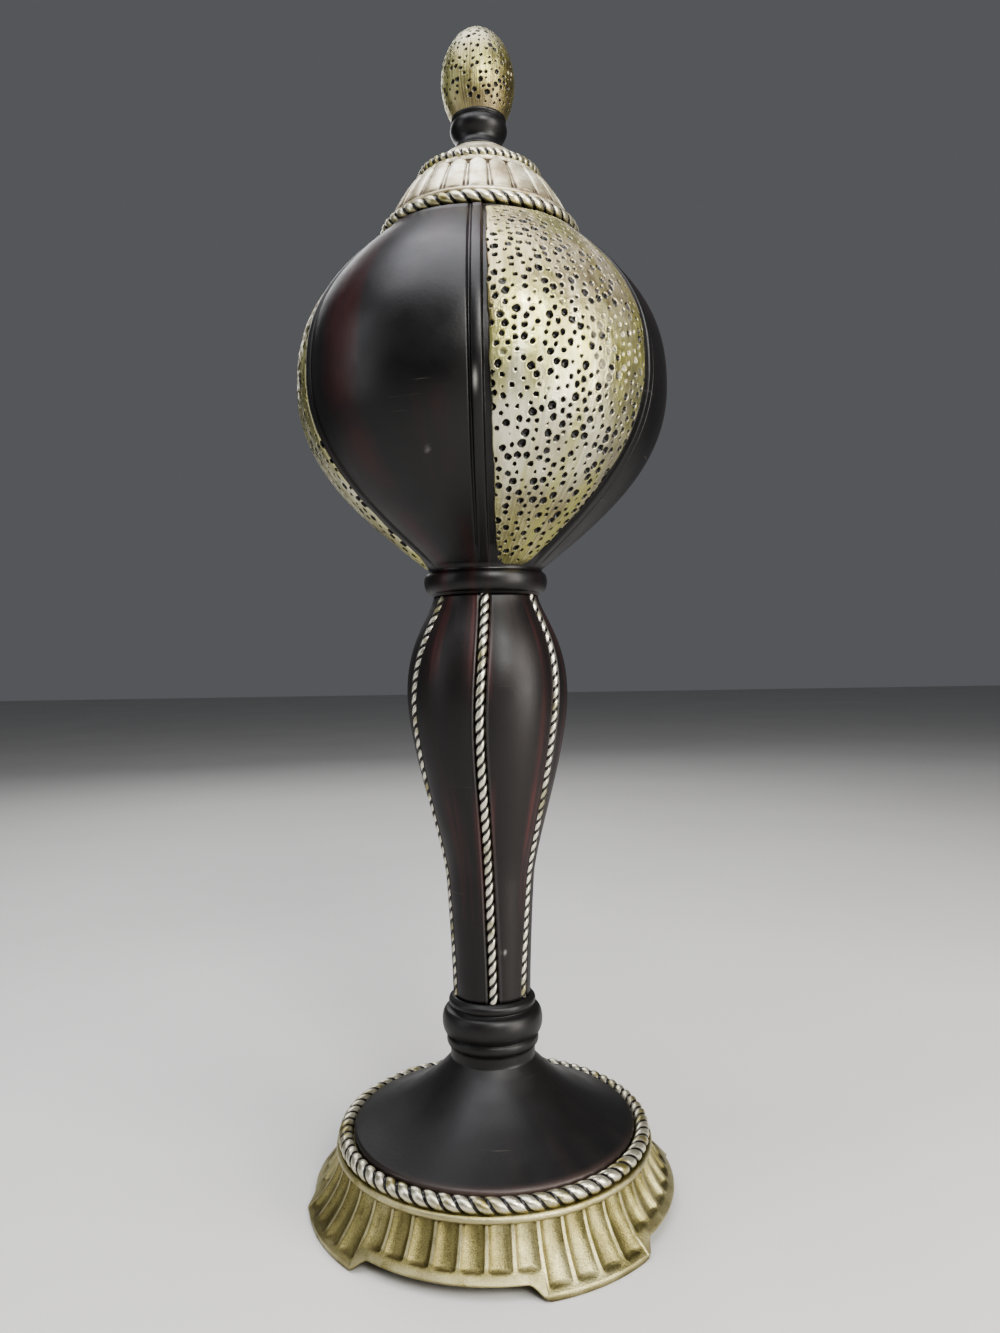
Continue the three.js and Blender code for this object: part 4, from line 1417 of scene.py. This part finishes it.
# %% Floor and light
FLOOR_REACH = 6.0
FLOOR_TONES = ((0.3, (0.6, 0.59, 0.57)), (0.7, (0.64, 0.63, 0.61)))
LAMPS = {
    "top_light": ((-0.15, -0.25, 1.35), 0.35, (1.1, 1.1), 17.0, (0.94, 0.94, 1.0)),
    "front_light": ((0.4, -1.1, 1.0), 0.25, (0.5, 0.5), 14.5, (1.0, 0.99, 0.96)),
    "right_light": ((0.95, -0.65, 0.5), 0.38, (0.5, 1.0), 15.0, (1.0, 0.96, 0.91)),
    "left_light": ((-1.1, -0.35, 0.6), 0.3, (0.3, 0.9), 2.5, (0.95, 0.97, 1.0)),
    "back_light": ((-0.4, 1.3, 1.1), 0.3, (1.0, 0.8), 7.0, (1.0, 1.0, 1.0)),
}


def make_floor():
    mesh = bpy.data.meshes.new("floor")
    corners = [(x * FLOOR_REACH, y * FLOOR_REACH, 0) for x, y in ((-1, -1), (1, -1), (1, 1), (-1, 1))]
    mesh.from_pydata(corners, [], [(0, 1, 2, 3)])
    finish, tree, shader = new_finish("floor_paint")
    fill(tree, shader, {"Base Color": ramp(tree, cloud(tree, 3.0), FLOOR_TONES), "Roughness": 0.75})
    mesh.materials.append(finish)
    in_scene("floor", mesh)


def soft_box(name, place, aim, size, power, tint):
    lamp = bpy.data.lights.new(name, "AREA")
    lamp.shape = "RECTANGLE"
    lamp.size, lamp.size_y = size
    lamp.energy = power
    lamp.color = tint
    made = in_scene(name, lamp)
    away = Vector(place) - Vector((0, 0, aim))
    made.rotation_mode = "QUATERNION"
    made.rotation_quaternion = away.to_track_quat("Z", "Y")
    made.location = place


make_floor()
for lamp_name, lamp_values in LAMPS.items():
    soft_box(lamp_name, *lamp_values)
world = bpy.data.worlds.new("room")
world.use_nodes = True
room = {"Color": (0.33, 0.34, 0.36), "Strength": 0.32}
fill(world.node_tree, world.node_tree.nodes["Background"], room)
bpy.context.scene.world = world
bpy.context.scene.view_settings.look = "AgX - Medium High Contrast"
print("lamps:", ", ".join(LAMPS))

# %% [markdown]
# The photo was taken with a wide phone lens, close and level, a little below the middle of the
# finial, with the phone tipped by about a degree. The camera repeats that: its place was worked
# out from how the rims of the plinth, the ring and the ropes turn into ellipses.

# %% Camera
CAMERA_PLACE = (6.25 * MM, -463.0 * MM, 256.3 * MM)
CAMERA_PITCH = math.radians(0.68)
CAMERA_ROLL = math.radians(0.9)
LENS = 26.0

data = bpy.data.cameras.new("photo_camera")
data.lens = LENS
data.sensor_width = 36.0
data.clip_start = 0.01
data.clip_end = 50.0
camera = in_scene("photo_camera", data)
tip, nod = CAMERA_ROLL, CAMERA_PITCH
right = (math.cos(tip), -math.sin(tip) * math.sin(nod), -math.sin(tip) * math.cos(nod))
up = (math.sin(tip), math.cos(tip) * math.sin(nod), math.cos(tip) * math.cos(nod))
back = (0.0, -math.cos(nod), math.sin(nod))
camera.matrix_world = Matrix([*zip(right, up, back, CAMERA_PLACE), (0, 0, 0, 1)])
bpy.context.scene.camera = camera
print("camera:", CAMERA_PLACE, "lens", LENS)
